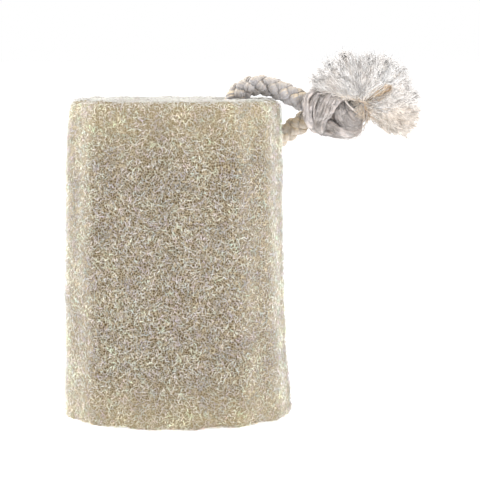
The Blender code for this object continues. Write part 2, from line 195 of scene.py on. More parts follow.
def sweepTube(middle, across, outward, halfWidth, halfThickness, look, tone, closed=False, dive=0.0):
    # an oval section, fluted like a hank of yarns, carried along a line
    # dive is the painted shade added at each ring where the tube goes under its neighbours, from 0 to 1
    rings, sides, flutes = len(middle), look["sides"], look["flutes"]
    turn = np.linspace(0, 2 * np.pi, sides, endpoint=False)[None, :]
    share = np.linspace(0, 1, rings, endpoint=not closed)[:, None]
    drift = look["twist"] * share + look["wander"] * np.sin(2 * np.pi * 2.3 * share) / 6
    wave = 0.6 * np.cos(flutes * (turn + 2 * np.pi * drift)) + 0.4 * np.cos(
        (flutes * 1.6 // 1) * (turn - 1.7 * drift) + 7 * tone)
    wave *= 0.7 + 0.3 * np.sin(2 * turn + 9 * share + 5 * tone)
    ridge = 1 + look["fluteDepth"] * wave
    wide = (np.cos(turn) * ridge * np.reshape(halfWidth, (-1, 1)))[..., None]
    thick = (np.sin(turn) * ridge * np.reshape(halfThickness, (-1, 1)))[..., None]
    points = middle[:, None, :] + wide * across[:, None, :] + thick * outward[:, None, :]
    ring = np.arange(rings if closed else rings - 1)[:, None] * sides
    corner, nextCorner = np.arange(sides)[None, :], (np.arange(sides)[None, :] + 1) % sides
    nextRing = (ring + sides) % (rings * sides)
    quads = np.stack([ring + corner, ring + nextCorner, nextRing + nextCorner, nextRing + corner], axis=-1)
    # painted shade: darker in the flutes' grooves, at the oval's two edges where it meets its neighbours, and
    # where it dives under them
    edge = np.abs(np.cos(turn)) ** 8
    paintedCreaseShade = np.clip(0.36 - 0.50 * wave + 0.45 * edge + np.reshape(dive, (-1, 1)) * np.ones_like(turn), 0, 1)
    return {"points": points.reshape(-1, 3), "quads": quads.reshape(-1, 4), "rings": rings, "sides": sides,
            "tone": tone, "length": routeLength(middle), "closed": closed,
            "paintedCreaseShade": np.broadcast_to(paintedCreaseShade, (rings, sides)).ravel()}


def plainLook(sides):
    return {"sides": sides, "flutes": 0, "fluteDepth": 0, "twist": 0, "wander": 0}


def roundTube(middle, size, sides, tone, curl=0.0):
    heading = headingOf(middle)
    side = carriedSide(heading)
    return sweepTube(middle + side * curl, side, np.cross(heading, side), size, size, plainLook(sides), tone)


def endTaper(share, reach, least):  # 1 along the middle of a tube, less within reach of its ends
    return np.sqrt(np.clip(np.minimum(share, 1 - share) / reach, least, 1))


def capFaces(rings, sides):  # fans over both ends, to two middle points that follow the rings
    corner = np.arange(sides)
    nextCorner = (corner + 1) % sides
    last = (rings - 1) * sides
    low = np.stack([nextCorner, corner, np.full(sides, rings * sides)], axis=1)
    high = np.stack([last + corner, last + nextCorner, np.full(sides, rings * sides + 1)], axis=1)
    return np.vstack([low, high])


def joinTubes(name, tubes):  # one piece with a UV map along its yarns, and for each point a tone and a painted crease shade
    points, faces, tones, paintedCreaseShades, rounds, alongs = [], [], [], [], [], []
    offset = 0
    for tube in tubes:
        skin, rings, sides, length = tube["points"], tube["rings"], tube["sides"], tube["length"]
        ends = [] if tube["closed"] else [skin[:sides].mean(axis=0), skin[-sides:].mean(axis=0)]
        count = rings * sides + len(ends)
        points.append(np.vstack([skin] + ends))
        faces += (tube["quads"] + offset).tolist()
        if ends:
            faces += (capFaces(rings, sides) + offset).tolist()
        tones.append(np.full(count, tube["tone"]))
        paintedCreaseShades.append(np.concatenate([tube["paintedCreaseShade"], [0.5] * len(ends)]))
        rounds.append(np.concatenate([np.tile(np.arange(sides) / sides, rings), [0.5] * len(ends)]))
        alongs.append(np.concatenate([np.repeat(np.linspace(0, length, rings), sides),
                                      [0, length][:len(ends)]]))
        offset += count
    mesh = bpy.data.meshes.new(name)
    mesh.from_pydata(np.vstack(points).tolist(), [], faces)
    addAttribute(mesh, "tone", np.concatenate(tones))
    addAttribute(mesh, "paintedCreaseShade", np.concatenate(paintedCreaseShades))
    addUv(mesh, np.concatenate(rounds), np.concatenate(alongs))
    mesh.shade_smooth()
    return addPiece(name, mesh)


def addUv(mesh, around, along):  # around in turns and along in centimetres; the seam is unwrapped
    corners = np.empty(len(mesh.loops), dtype=np.int32)
    mesh.loops.foreach_get("vertex_index", corners)
    starts = np.empty(len(mesh.polygons), dtype=np.int32)
    mesh.polygons.foreach_get("loop_start", starts)
    sizes = np.diff(np.append(starts, len(corners)))
    u = around[corners]
    highest = np.repeat(np.maximum.reduceat(u, starts), sizes)
    u = np.where((highest > 0.75) & (u < 0.25), u + 1.0, u)
    layer = mesh.uv_layers.new(name="yarnWay")
    layer.data.foreach_set("uv", np.stack([u, along[corners] * 100], axis=1).astype(np.float32).ravel())


# Spindles and spots, used for yarns, fibres and hairs

def modelSpindle(name, rings):  # a thin three-sided spindle along Z, from 0 to 1, with a point at each end
    if rings == 1:
        bpy.ops.mesh.primitive_cone_add(vertices=3, radius1=1.0, radius2=0, depth=2.0, end_fill_type="TRIFAN")
    else:
        bpy.ops.mesh.primitive_uv_sphere_add(segments=3, ring_count=rings + 1, radius=1.0)
    spindle = bpy.context.object
    spindle.name = name
    bpy.ops.object.mode_set(mode="EDIT")
    if rings == 1:  # the middle of the cone's foot becomes the lower point
        selectVerts(spindle, lambda vert: vert.co.z < 0 and math.hypot(vert.co.x, vert.co.y) < 0.01)
        bpy.ops.transform.translate(value=(0, 0, -1.0))
    bpy.ops.object.mode_set(mode="OBJECT")
    heights = sorted({round(vert.co.z, 4) for vert in spindle.data.vertices})
    away = 10  # the rings that are done stand this far up, clear of the others
    bpy.ops.object.mode_set(mode="EDIT")
    for index, height in enumerate(heights):
        selectVerts(spindle, lambda vert: abs(vert.co.z - height) < 0.001)
        ringRadius = math.sqrt(max(1 - height ** 2, 0.0))
        if ringRadius > 0.01:
            bpy.ops.transform.resize(value=(1 / ringRadius, 1 / ringRadius, 1))
        bpy.ops.transform.translate(value=(0, 0, index / (len(heights) - 1) + away - height))
    bpy.ops.mesh.select_all(action="SELECT")
    bpy.ops.transform.translate(value=(0, 0, -away))
    bpy.ops.mesh.quads_convert_to_tris()
    bpy.ops.object.mode_set(mode="OBJECT")
    points = meshPoints(spindle.data)
    faces = np.array([face.vertices[:] for face in spindle.data.polygons])
    removePiece(spindle)
    return points, faces


def placeCopies(starts, *parts):  # the points of each copy; a part is how far to go, and which way
    placed = starts[:, None]
    for amount, way in parts:
        placed = placed + amount[..., None] * way[:, None]
    return placed


def meshCopies(name, placed, faces, **attributes):  # faces are those of one spindle
    count, size = placed.shape[:2]
    faces = (faces[None] + (np.arange(count) * size)[:, None, None]).reshape(-1, 3)
    mesh = bpy.data.meshes.new(name)
    mesh.vertices.add(count * size)
    mesh.vertices.foreach_set("co", np.ascontiguousarray(placed, dtype=np.float32).ravel())
    mesh.loops.add(faces.size)
    mesh.loops.foreach_set("vertex_index", np.ascontiguousarray(faces, dtype=np.int32).ravel())
    mesh.polygons.add(len(faces))
    mesh.polygons.foreach_set("loop_start", np.arange(0, faces.size, 3, dtype=np.int32))
    mesh.update(calc_edges=True)
    for attribute, values in attributes.items():
        addAttribute(mesh, attribute, values)
    mesh.shade_smooth()
    return addPiece(name, mesh)


def surfaceSpots(mesh, count, chance):  # even random places on a mesh, with smooth normals
    mesh.calc_loop_triangles()
    corners = np.empty(len(mesh.loop_triangles) * 3, dtype=np.int32)
    mesh.loop_triangles.foreach_get("vertices", corners)
    corners = corners.reshape(-1, 3)
    points, normals = meshPoints(mesh), meshPoints(mesh, "normal")
    a, b, c = (points[corners[:, index]] for index in range(3))
    total = np.cumsum(np.linalg.norm(np.cross(b - a, c - a), axis=1) / 2)
    picks = np.searchsorted(total, (np.arange(count) + chance.uniform(0, 1, count)) / count * total[-1])
    picks = np.minimum(picks, len(corners) - 1)
    u, v = chance.uniform(0, 1, (2, count))
    flip = u + v > 1
    u, v = np.where(flip, 1 - u, u), np.where(flip, 1 - v, v)
    weights = np.stack([1 - u - v, u, v], axis=1)
    spots = (points[corners[picks]] * weights[:, :, None]).sum(axis=1)
    ups = unit((normals[corners[picks]] * weights[:, :, None]).sum(axis=1))
    return spots, ups


def layFibres(name, rings, spots, aheads, ups, sizes):  # a spindle at each spot, bent its own way
    points, faces = modelSpindle("fibre", rings)
    share = points[:, 2][None, :] - 0.5
    inner = 1 - 4 * share ** 2
    length, radius, bend, twist, arch, depth = (
        sizes[size][:, None] for size in ("length", "radius", "bend", "twist", "arch", "depth"))
    sideways = radius * points[:, 0] + bend * length * inner + twist * length * share * inner
    upward = radius * points[:, 1] + arch * length * (inner - 0.5) + depth
    across = unit(np.cross(ups, aheads))
    placed = placeCopies(spots, (length * share, aheads), (sideways, across), (upward, ups))
    placed[..., 2] = np.maximum(placed[..., 2], 0.0)
    return meshCopies(name, placed, faces, tone=np.repeat(sizes["tone"], len(points)))


def spanned(chance, span, count):
    # a value within the span for each, with no draw where both ends are the same
    low, high = span
    return np.full(count, float(low)) if low == high else chance.uniform(low, high, count)


def raiseHairs(coat, spots, ups, chance):  # loose hairs that lean away from a surface
    count = len(spots)
    level = np.cross(ups, unit(np.cross(ups, chance.normal(0, 1, (count, 3)))))
    aheads = unit(level + ups * chance.uniform(*coat["lean"], count)[:, None])
    length = coat["length"] * chance.uniform(0.5, 1.3, count)
    sizes = {
        "length": length,
        "radius": coat["radius"] * spanned(chance, coat["thickness"], count),
        "bend": chance.uniform(-0.3, 0.3, count),
        "twist": spanned(chance, coat["twist"], count),
        "arch": chance.uniform(-0.1, 0.2, count),
        "depth": np.zeros(count),
        "tone": chance.uniform(*coat["tones"], count),
    }
    middle = spots + aheads * (length * coat["standOff"])[:, None]
    side = unit(np.cross(ups, aheads))
    return layFibres(coat["name"], coat["rings"], middle, aheads, np.cross(aheads, side), sizes)


# Rope: its route from the knot, in at the sponge's side, up the channel and back to the knot

rope = {
    "diameter": 0.0093,
    "route": (
        (0.0632, 0.0058, 0.1406), (0.0580, 0.0074, 0.1370), (0.0530, 0.0090, 0.1338),
        (0.0480, 0.0103, 0.1306), (0.0408, 0.0102, 0.1284), (0.0338, 0.0078, 0.1301),
        (0.0289, 0.0045, 0.1351), (0.0270, 0.0018, 0.1418), (0.0284, 0.0010, 0.1505),
        (0.0322, 0.0010, 0.1543), (0.0370, 0.0008, 0.1560), (0.0425, 0.0006, 0.1560),
        (0.0480, 0.0004, 0.1544), (0.0533, 0.0000, 0.1520), (0.0590, -0.0008, 0.1493),
        (0.0632, -0.0015, 0.1475),
    ),
    "strandsEachWay": 3,
    "lay": 0.0174,  # length of one turn of a strand
    "start": 90,  # turns the braid so that a row of lumps faces the front
    "reach": 0.00236,  # from the rope's middle to a strand's, and how far it swings over and under
    "swing": 0.00105,
    "halfWidth": 0.00214,
    "halfThickness": 0.00136,
    "plump": 0.24,
    "step": 0.0009,
    "look": {"sides": 36, "flutes": 9, "fluteDepth": 0.24, "twist": 0, "wander": 0.3},
    "warm": {  # painted warm light: the underside is painted lighter and more golden, as if lit by warm light from below, less so near the top of the bend, and so is the lower leg, which gets less light
        "below": 2.2, "topDepth": 0.004, "atTop": 0.3, "onLeg": 0.45, "legTop": 0.1415},
    "seed": 4107,
}
ropeRoute = smoothRoute(rope["route"], 40)
ropeLength = routeLength(ropeRoute)


def makeRope():
    chance = np.random.default_rng(rope["seed"])
    count = int(ropeLength / rope["step"])
    middle = smoothRoute(rope["route"], count)
    heading = headingOf(middle)
    side = carriedSide(heading)
    up = np.cross(heading, side)
    turning = 2 * np.pi * np.linspace(0, ropeLength, count) / rope["lay"]
    strands = rope["strandsEachWay"]
    tubes = []
    for way in (1, -1):
        over = way * np.cos(strands * turning)
        for strand in range(strands):
            angle = math.radians(rope["start"]) + 2 * np.pi * strand / strands + way * turning
            out = np.cos(angle)[:, None] * side + np.sin(angle)[:, None] * up
            line = middle + out * (rope["reach"] + rope["swing"] * over)[:, None]
            across = unit(np.cross(headingOf(line), out))
            swell = 1 + rope["plump"] * over
            # painted shade where the strand goes under the others
            dive = 0.6 * np.clip(0.25 - over, 0, 1)
            tubes.append(sweepTube(line, across, out, rope["halfWidth"] * swell,
                                   rope["halfThickness"] * swell, rope["look"],
                                   chance.uniform(0, 1), dive=dive))
    piece = joinTubes("braidedRope", tubes)
    points, normals = meshPoints(piece.data), meshPoints(piece.data, "normal")
    warm = rope["warm"]
    belowTop = np.clip((middle[:, 2].max() - points[:, 2]) / warm["topDepth"], warm["atTop"], 1)
    # painted warm light on surfaces that face down, and on the lower leg
    under = warm["below"] * np.clip(-0.15 - normals[:, 2], 0, 1) * belowTop
    leg = warm["onLeg"] * (points[:, 2] < warm["legTop"])
    addAttribute(piece.data, "warm", np.clip(under + leg, 0, 1))
    return piece


braidedRope = makeRope()
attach(braidedRope, "root")
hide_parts("rope_loop")
print("rope braided,", len(braidedRope.data.polygons), "faces")


# Knot: the loosened rope in soft hanks, laid round a heart

knot = {
    "core": ((0.0610, 0.0, 0.1445), (0.0880, 0.0, 0.1440)),
    "step": 0.0007,
    "look": {"fluteDepth": 0.11, "twist": 0.10, "wander": 0.25},
    "crumple": 0.00060,
    "crumpleWaves": ((0.0034, 1, 0.0), (0.0014, 0.7, 4.0), (0.0007, 0.35, 9.0)),
    "yarnEvery": 0.00045,  # one surface yarn for each such length of hank
    "yarnLength": (0.004, 0.010),
    "yarnRadius": 0.00022,
    "lane": (0.04, 0.44),  # where a yarn lies, in turns round the hank, and how far it ripples
    "ripple": (0.004, 0.014),
    # each hank's tone is painted light: the turns that face the light get a high tone and those in shade a
    # low one, which the cotton finish turns into lighter and darker colour
    "hanks": {  # each stop is its place, half width and half thickness, in millimetres
        "leftTurn": {"tone": 1.0, "flutes": 8, "closed": True, "stops": (
            (64.6, -5.6, 153.0, 1.2, 1.3), (61.8, -8.0, 151.4, 1.3, 1.4), (60.9, -9.2, 148.4, 1.2, 1.4),
            (60.9, -9.6, 144.8, 1.2, 1.4), (61.7, -8.8, 141.0, 1.3, 1.4), (63.6, -6.2, 137.6, 1.3, 1.3),
            (66.0, -1.0, 135.4, 1.5, 1.4), (66.4, 4.5, 135.8, 1.6, 1.5), (64.6, 8.6, 140.0, 1.6, 1.5),
            (63.6, 9.6, 145.6, 1.6, 1.5), (64.0, 7.2, 151.0, 1.5, 1.4), (65.6, 1.6, 153.8, 1.4, 1.3),
            (66.0, -2.6, 154.0, 1.2, 1.3))},
        "leafTurn": {"tone": 1.0, "flutes": 7, "closed": True, "stops": (
            (67.2, -5.2, 152.6, 1.2, 1.3), (65.1, -7.6, 150.0, 1.2, 1.3), (63.7, -8.4, 147.2, 1.1, 1.3),
            (62.9, -8.6, 144.2, 0.8, 1.2), (63.1, -8.2, 141.0, 0.8, 1.2), (64.8, -6.0, 138.0, 1.1, 1.3),
            (67.2, -1.0, 136.0, 1.5, 1.4), (68.6, 5.0, 136.4, 1.8, 1.5), (67.8, 9.0, 141.0, 1.9, 1.5),
            (67.4, 9.9, 146.0, 1.9, 1.5), (67.9, 7.4, 151.0, 1.7, 1.4), (68.6, 2.0, 153.6, 1.5, 1.3),
            (68.3, -2.6, 153.8, 1.2, 1.3))},
        "frontPillow": {"tone": 0.3, "flutes": 17, "stops": (
            (82.4, 1.0, 149.6, 1.8, 1.8), (79.4, -3.4, 151.6, 2.5, 2.4), (75.4, -6.6, 150.9, 3.5, 3.2),
            (71.6, -7.8, 148.2, 4.1, 3.5), (69.4, -8.0, 144.8, 4.2, 3.5), (67.9, -7.4, 141.4, 3.5, 3.2),
            (67.6, -6.0, 138.2, 2.9, 2.8), (68.8, -2.6, 135.8, 2.6, 2.3), (71.6, 2.4, 134.9, 2.8, 2.4),
            (74.6, 6.8, 137.4, 3.4, 2.7), (77.2, 8.4, 142.0, 3.8, 2.8), (78.8, 7.4, 147.0, 3.4, 2.6),
            (79.6, 3.6, 150.2, 2.4, 2.2))},
        "shellOuter": {"tone": 0.25, "flutes": 13, "stops": (
            (76.8, -2.6, 149.0, 1.8, 2.0), (76.9, -5.6, 146.2, 2.5, 2.6), (77.8, -7.0, 142.4, 3.0, 2.9),
            (80.3, -6.6, 139.2, 3.1, 2.9), (83.8, -4.8, 138.8, 2.9, 2.7), (86.4, -2.2, 141.0, 2.3, 2.3),
            (87.0, 1.8, 143.6, 1.8, 2.0))},
        "shellInner": {"tone": 0.35, "flutes": 9, "stops": (
            (78.6, -3.0, 147.2, 1.5, 1.9), (80.9, -6.2, 145.4, 2.3, 2.5), (82.9, -6.6, 142.9, 2.4, 2.5),
            (85.2, -4.6, 141.0, 1.8, 2.0), (86.6, -1.8, 140.0, 1.4, 1.6))},
        "lowTurn": {"tone": 0.45, "flutes": 9, "stops": (
            (69.4, -1.5, 139.2, 1.4, 1.8), (71.8, -5.6, 138.6, 1.8, 2.0), (74.6, -7.0, 136.7, 2.1, 2.1),
            (78.2, -6.0, 134.7, 2.3, 2.2), (82.2, -3.2, 134.1, 2.3, 2.2), (85.9, 1.0, 135.8, 2.0, 2.0),
            (86.0, 5.0, 139.6, 1.8, 1.8))},
        "underTurn": {"tone": 0.35, "flutes": 8, "stops": (
            (65.6, -2.6, 137.2, 1.4, 1.5), (69.6, -3.6, 135.4, 1.7, 1.7), (74.6, -2.8, 133.9, 1.9, 1.8),
            (79.8, 0.2, 133.5, 2.1, 1.9), (84.0, 4.4, 135.8, 1.9, 1.8))},
        "topTurn": {"tone": 0.9, "flutes": 8, "stops": (
            (64.2, -1.6, 153.4, 1.1, 1.2), (68.4, -3.2, 154.2, 1.4, 1.4), (73.4, -3.2, 154.2, 1.6, 1.5),
            (78.4, -2.0, 152.8, 1.7, 1.6), (83.4, 0.4, 150.8, 1.6, 1.5), (86.4, 3.0, 147.6, 1.4, 1.4))},
        "neckHank": {"tone": 0.6, "flutes": 8, "stops": (
            (80.8, -2.2, 151.2, 1.0, 1.1), (83.8, -4.4, 150.4, 1.6, 1.4), (86.8, -4.8, 148.4, 1.8, 1.5),
            (88.7, -4.2, 145.2, 1.6, 1.4), (88.9, -3.4, 141.8, 1.2, 1.2), (87.6, -1.6, 139.6, 1.0, 1.1))},
        "backTurn": {"tone": 0.5, "flutes": 14, "stops": (
            (69.0, 0.0, 148.0, 3.6, 2.6), (74.0, 3.6, 151.2, 4.2, 3.0), (80.0, 5.8, 149.2, 4.2, 3.0),
            (84.0, 7.0, 144.8, 4.0, 2.8), (83.6, 6.2, 139.6, 3.4, 2.6), (80.0, 3.0, 137.0, 2.4, 2.0))},
        "neckTurn": {"tone": 0.5, "flutes": 8, "closed": True, "stops": (
            (86.8, -2.6, 149.8, 1.6, 1.4), (87.2, -4.4, 146.5, 1.6, 1.4), (87.4, -3.8, 142.8, 1.6, 1.4),
            (87.2, 0.0, 141.4, 1.6, 1.4), (86.8, 4.2, 143.0, 1.8, 1.5), (86.4, 5.0, 146.8, 1.8, 1.5),
            (86.2, 2.8, 150.0, 1.7, 1.5), (86.4, 0.0, 150.8, 1.6, 1.4))},
        "heart": {"tone": 0.5, "flutes": 12, "stops": (
            (63.6, 0.0, 144.5, 4.6, 4.6), (68.0, 0.0, 144.2, 5.2, 5.2), (74.0, 0.0, 143.8, 5.2, 5.2),
            (81.5, 0.5, 143.6, 4.8, 4.8))},
    },
    "yarns": (  # single yarns that stand out, each with its radius, and its stops in millimetres
        (0.00036, ((80.4, -5.6, 151.8), (79.1, -8.8, 150.4), (79.4, -9.9, 149.0), (80.6, -10.4, 147.4),
                   (83.1, -9.9, 145.1), (86.4, -7.8, 142.0))),
        (0.00030, ((64.8, -7.0, 152.0), (69.0, -8.3, 152.9), (73.5, -8.6, 153.1), (78.2, -6.8, 152.6))),
        (0.00030, ((88.7, -5.0, 148.2), (89.6, -6.2, 145.2), (89.4, -6.0, 141.6), (88.9, -5.0, 139.2))),
        (0.00028, ((87.6, -5.4, 147.6), (88.2, -6.8, 144.6), (87.9, -6.4, 141.0), (87.2, -5.4, 138.6))),
        (0.00028, ((66.4, -9.0, 150.2), (64.9, -10.4, 146.8), (64.6, -10.4, 143.0), (65.4, -8.8, 139.4))),
        (0.00024, ((83.4, -3.6, 134.8), (85.4, -4.6, 132.7), (87.2, -4.2, 133.6), (86.6, -3.0, 135.6))),
        (0.00024, ((81.0, -4.0, 133.4), (82.6, -5.0, 131.4), (84.8, -4.6, 131.8), (85.0, -3.4, 133.6))),
        (0.00024, ((85.2, -2.4, 136.6), (87.8, -3.0, 134.9), (88.8, -2.6, 136.6), (87.6, -1.6, 138.2))),
        (0.00024, ((78.0, -4.4, 133.2), (79.4, -5.0, 131.2), (81.2, -4.4, 131.0), (82.0, -3.4, 132.6))),
    ),
    "seed": 58,
}


def hankTube(hank):
    closed = hank.get("closed", False)
    stops = np.array(hank["stops"]) / 1000
    route = smoothRoute(stops, int(routeLength(stops[:, :3]) / knot["step"]), closed)
    middle, wide, thick = route[:, :3], route[:, 3], route[:, 4]
    heading = headingOf(middle, closed)
    across = unit(np.cross(heading, unit(offLine(middle, *knot["core"]))))
    taper = 1.0 if closed else endTaper(np.linspace(0, 1, len(route)), 0.06, 0.05)
    look = dict(knot["look"], flutes=hank["flutes"], sides=hank["flutes"] * 4)
    return sweepTube(middle, across, np.cross(across, heading), wide * taper, thick * taper, look,
                     hank["tone"], closed)


def surfaceYarns(tube, chance):  # crinkled yarns that follow a hank's own lines on its outer side
    rings, sides = tube["rings"], tube["sides"]
    grid = tube["points"].reshape(rings, sides, 3)
    yarns = []
    while len(yarns) < int(tube["length"] / knot["yarnEvery"]):
        steps = min(int(chance.uniform(*knot["yarnLength"]) / knot["step"]), rings - 2)
        share = np.linspace(0, 1, steps)
        ring = int(chance.integers(0, rings if tube["closed"] else rings - steps)) + np.arange(steps)
        lane = chance.uniform(*knot["lane"]) + chance.uniform(-0.05, 0.05) * share
        ripple = chance.uniform(*knot["ripple"]) * np.sin(chance.uniform(8, 20) * share + ring[0])
        lane = np.clip(lane + ripple, 0.01, 0.48) * sides
        low = lane.astype(int)
        part = (lane - low)[:, None]
        around = grid[ring % rings]
        places = grid[ring % rings, low] * (1 - part) + grid[ring % rings, low + 1] * part
        out = unit(places - around.mean(axis=1))
        across = unit(np.cross(headingOf(places), out))
        size = knot["yarnRadius"] * chance.uniform(0.7, 1.3) * endTaper(share, 0.2, 0.1)
        tone = tube["tone"] + chance.uniform(-0.2, 0.3)
        lifted = places + out * knot["yarnRadius"] * 0.6
        yarns.append(sweepTube(lifted, across, out, size, size, plainLook(3), tone))
    return yarns


def singleYarn(radius, stops):
    stops = np.array(stops) / 1000
    middle = smoothRoute(stops, max(int(routeLength(stops) / 0.0006), 8))
    return roundTube(middle, radius * endTaper(np.linspace(0, 1, len(middle)), 0.1, 0.1), 6, 1.0)


def makeKnot():
    chance = np.random.default_rng(knot["seed"])
    tubes = [hankTube(hank) for hank in knot["hanks"].values()]
    hanks = joinTubes("knotHanks", tubes)
    points = meshPoints(hanks.data)
    crumple = knot["crumple"] * noiseSum(points, knot["crumpleWaves"])
    setPoints(hanks.data, points + meshPoints(hanks.data, "normal") * crumple[:, None])
    loose = [yarn for tube in tubes[:-1] for yarn in surfaceYarns(tube, chance)]  # none on the heart
    single = [singleYarn(radius, stops) for radius, stops in knot["yarns"]]
    return [hanks, joinTubes("knotYarns", loose + single)]


knotPieces = makeKnot()
print("knot tied,", sum(len(piece.data.polygons) for piece in knotPieces), "faces")


# Tassel: locks that open from the neck into a broad fan, under a coat of crinkled yarns

tassel = {
    "root": (0.0880, -0.0004, 0.1480),
    "neckStart": (0.0830, -0.0002, 0.1458),
    "neckRadius": 0.0036,
    "reach": (  # millimetres from the root to the fan's edge at each turn from level
        (-66, 9.7), (-54, 9.5), (-46, 15.0), (-42, 21.2), (-37, 24.9), (-26, 26.2), (-16, 27.1), (-4, 25.4),
        (3, 26.5), (14, 25.4), (26, 25.3), (37, 24.9), (52, 25.0), (60, 23.2), (71, 23.9), (79, 21.2),
        (87, 22.6), (96, 20.2), (102, 19.2), (104, 23.9), (107, 25.4), (118, 24.7), (126, 24.8), (133, 25.5),
        (146, 24.7), (161, 27.5)),
    "turns": (-44, 163),
    "depth": 0.0125,
    "fringe": 0.0018,  # how far the yarns stand out past the locks
    "locks": 165,
    "lockWidth": ((0, 0.0011), (0.25, 0.0013), (0.7, 0.0019), (1, 0.0012)),
    "lockRings": 14,
    "lockSides": 8,
    "voxel": 0.00078,
    "clump": 0.0004,
    "clumpWaves": ((0.0030, 1, 2.0), (0.0014, 0.5, 5.0)),
    "yarns": 5600,
    "spare": 1.25,  # places drawn for each yarn, as some are too near the root
    "yarnLength": (0.0038, 0.0078),
    "yarnRadius": 0.00018,
    "yarnRings": 5,
    "yarnSunk": 0.0002,
    "yarnBack": 0.12,  # share of a yarn that lies behind its spot
    "yarnWaves": (1.2, 2.2),
    "cling": 0.74,  # 1 lays the yarns flat on the locks, 0 stands them out
    "liftOff": 0.15,  # where the surface faces the root, the yarns rise from it by this much
    "stray": 0.17,
    "bare": 0.0052,  # no yarns this near the root, where the locks show
    "paintedShadeBelow": (0.152, 0.010),  # painted shade: the lowest yarns are darker, fully so after this span
    "curl": 0.00050,
    "strands": 210,
    "strandRadius": 0.00025,
    "strandRings": 18,
    "strandFrom": (0.20, 0.45),  # the share of its lock at which a strand starts, and ends
    "strandTo": (0.75, 1.05),
    "strandWaves": (2.5, 5.0),
    "guard": (  # the middle and half sizes of the knot, which the tassel stays out of
        (0.0745, 0.0, 0.1425), (0.0165, 0.0125, 0.0125)),
    "ball": ((0.0940, 0.0, 0.1570), (0.021, 0.014, 0.019)),  # the soft shape whose light the yarns share
    "softness": 0.7,
    "hollow": {"start": (0.0886, 0.1490), "end": (0.1008, 0.1560), "half": 0.0036, "depth": 0.0032},
    # painted shade, brownish, at the root, near the knot, below and in the hollow
    "warm": {"atRoot": 0.70, "rootReach": 0.0062, "atKnot": 0.40, "knotReach": 0.16, "below": 0.3,
             "belowFrom": 0.150, "belowSpan": 0.008, "inHollow": 0.8},
    "looseDepth": 0.006,  # how far forward a loose strand lies where no lock is behind it
    "looseLift": 0.0004,
    "loose": (  # single strands across the front, in millimetres
        ((85.4, 152.4), (87.5, 154.1), (91.0, 156.3), (95.9, 160.1)),
        ((86.0, 151.2), (88.9, 153.4), (92.6, 156.0), (97.0, 158.6)),
        ((89.6, 148.9), (91.7, 148.0), (94.6, 148.4), (97.4, 150.3), (99.4, 152.4)),
        ((92.5, 146.4), (96.0, 146.4), (99.2, 147.5), (100.5, 149.6)),
        ((93.6, 144.3), (97.5, 144.3), (100.3, 145.7), (102.3, 150.7)),
        ((85.0, 152.4), (83.6, 154.8), (82.2, 156.6)),
        ((84.4, 151.8), (81.6, 153.6), (77.4, 155.2), (73.0, 156.2)),
    ),
    "seed": 977,
}


def fanLocks(count, chance):  # the four points of a smooth line for each lock
    low, high = tassel["turns"]
    goldenShare = 0.618034  # spreads the locks evenly in any number
    turn = low + (high - low) * ((np.arange(count) * goldenShare + 0.3) % 1)
    lift = chance.permutation(np.linspace(-1, 1, count))
    turns, reaches = np.array(tassel["reach"]).T
    reach = np.interp(turn, turns, reaches) / 1000 - tassel["fringe"]
    reach *= (1 - 0.20 * lift ** 2) * chance.uniform(0.93, 1.0, count)
    flat = np.stack([np.cos(np.radians(turn)), np.zeros(count), np.sin(np.radians(turn))], axis=1)
    back = np.array((0.0, 1.0, 0.0))
    depth = back * (tassel["depth"] * lift)[:, None]
    root, start = np.array(tassel["root"]), np.array(tassel["neckStart"])
    neck = unit(root - start)
    angle = np.arctan2(lift, 0.35 * np.sin(np.radians(turn - 60)))
    radius = tassel["neckRadius"] * np.sqrt(chance.uniform(0.02, 0.85, count))
    across = np.cos(angle)[:, None] * np.cross(neck, back) * 0.9 + np.sin(angle)[:, None] * back
    along = reach[:, None] * flat
    return (start + across * radius[:, None],
            root + across * radius[:, None] * 1.1 + neck * chance.uniform(0.0, 0.002, count)[:, None],
            root + along * 0.45 + depth * 1.15,
            root + along + depth * 0.50)


def lockPlace(lines, index, t):  # places on a lock's middle line
    p0, p1, p2, p3 = (line[index] for line in lines)
    t = t[..., None]
    return (1 - t) ** 3 * p0 + 3 * (1 - t) ** 2 * t * p1 + 3 * (1 - t) * t ** 2 * p2 + t ** 3 * p3


def hollowShare(points):  # 1 in the middle of the leaf-shaped hollow beside the root, 0 outside it
    hollow = tassel["hollow"]
    start, end = np.array(hollow["start"]), np.array(hollow["end"])
    way = unit(end - start)
    flat = points[:, [0, 2]] - start
    along = flat @ way / np.linalg.norm(end - start)
    beside = np.abs(flat @ np.array((-way[1], way[0])))
    width = hollow["half"] * np.sqrt(np.clip(np.sin(np.pi * np.clip(along, 0, 1)), 0, 1)) + 1e-6
    return np.clip(1.15 - (beside / width) ** 2, 0, 1) * (points[:, 1] < 0)


def clearOfKnot(points):  # only the neck goes into the knot
    centre, sizes = np.array(tassel["guard"])
    fromNeck = np.linalg.norm(offLine(points, tassel["neckStart"], tassel["root"]), axis=1)
    offset = points - centre
    reach = np.linalg.norm(offset / sizes, axis=1)
    outside = centre + offset / np.maximum(reach, 1e-6)[:, None]
    return np.where(((reach < 1) & (fromNeck > tassel["neckRadius"] * 1.2))[:, None], outside, points)


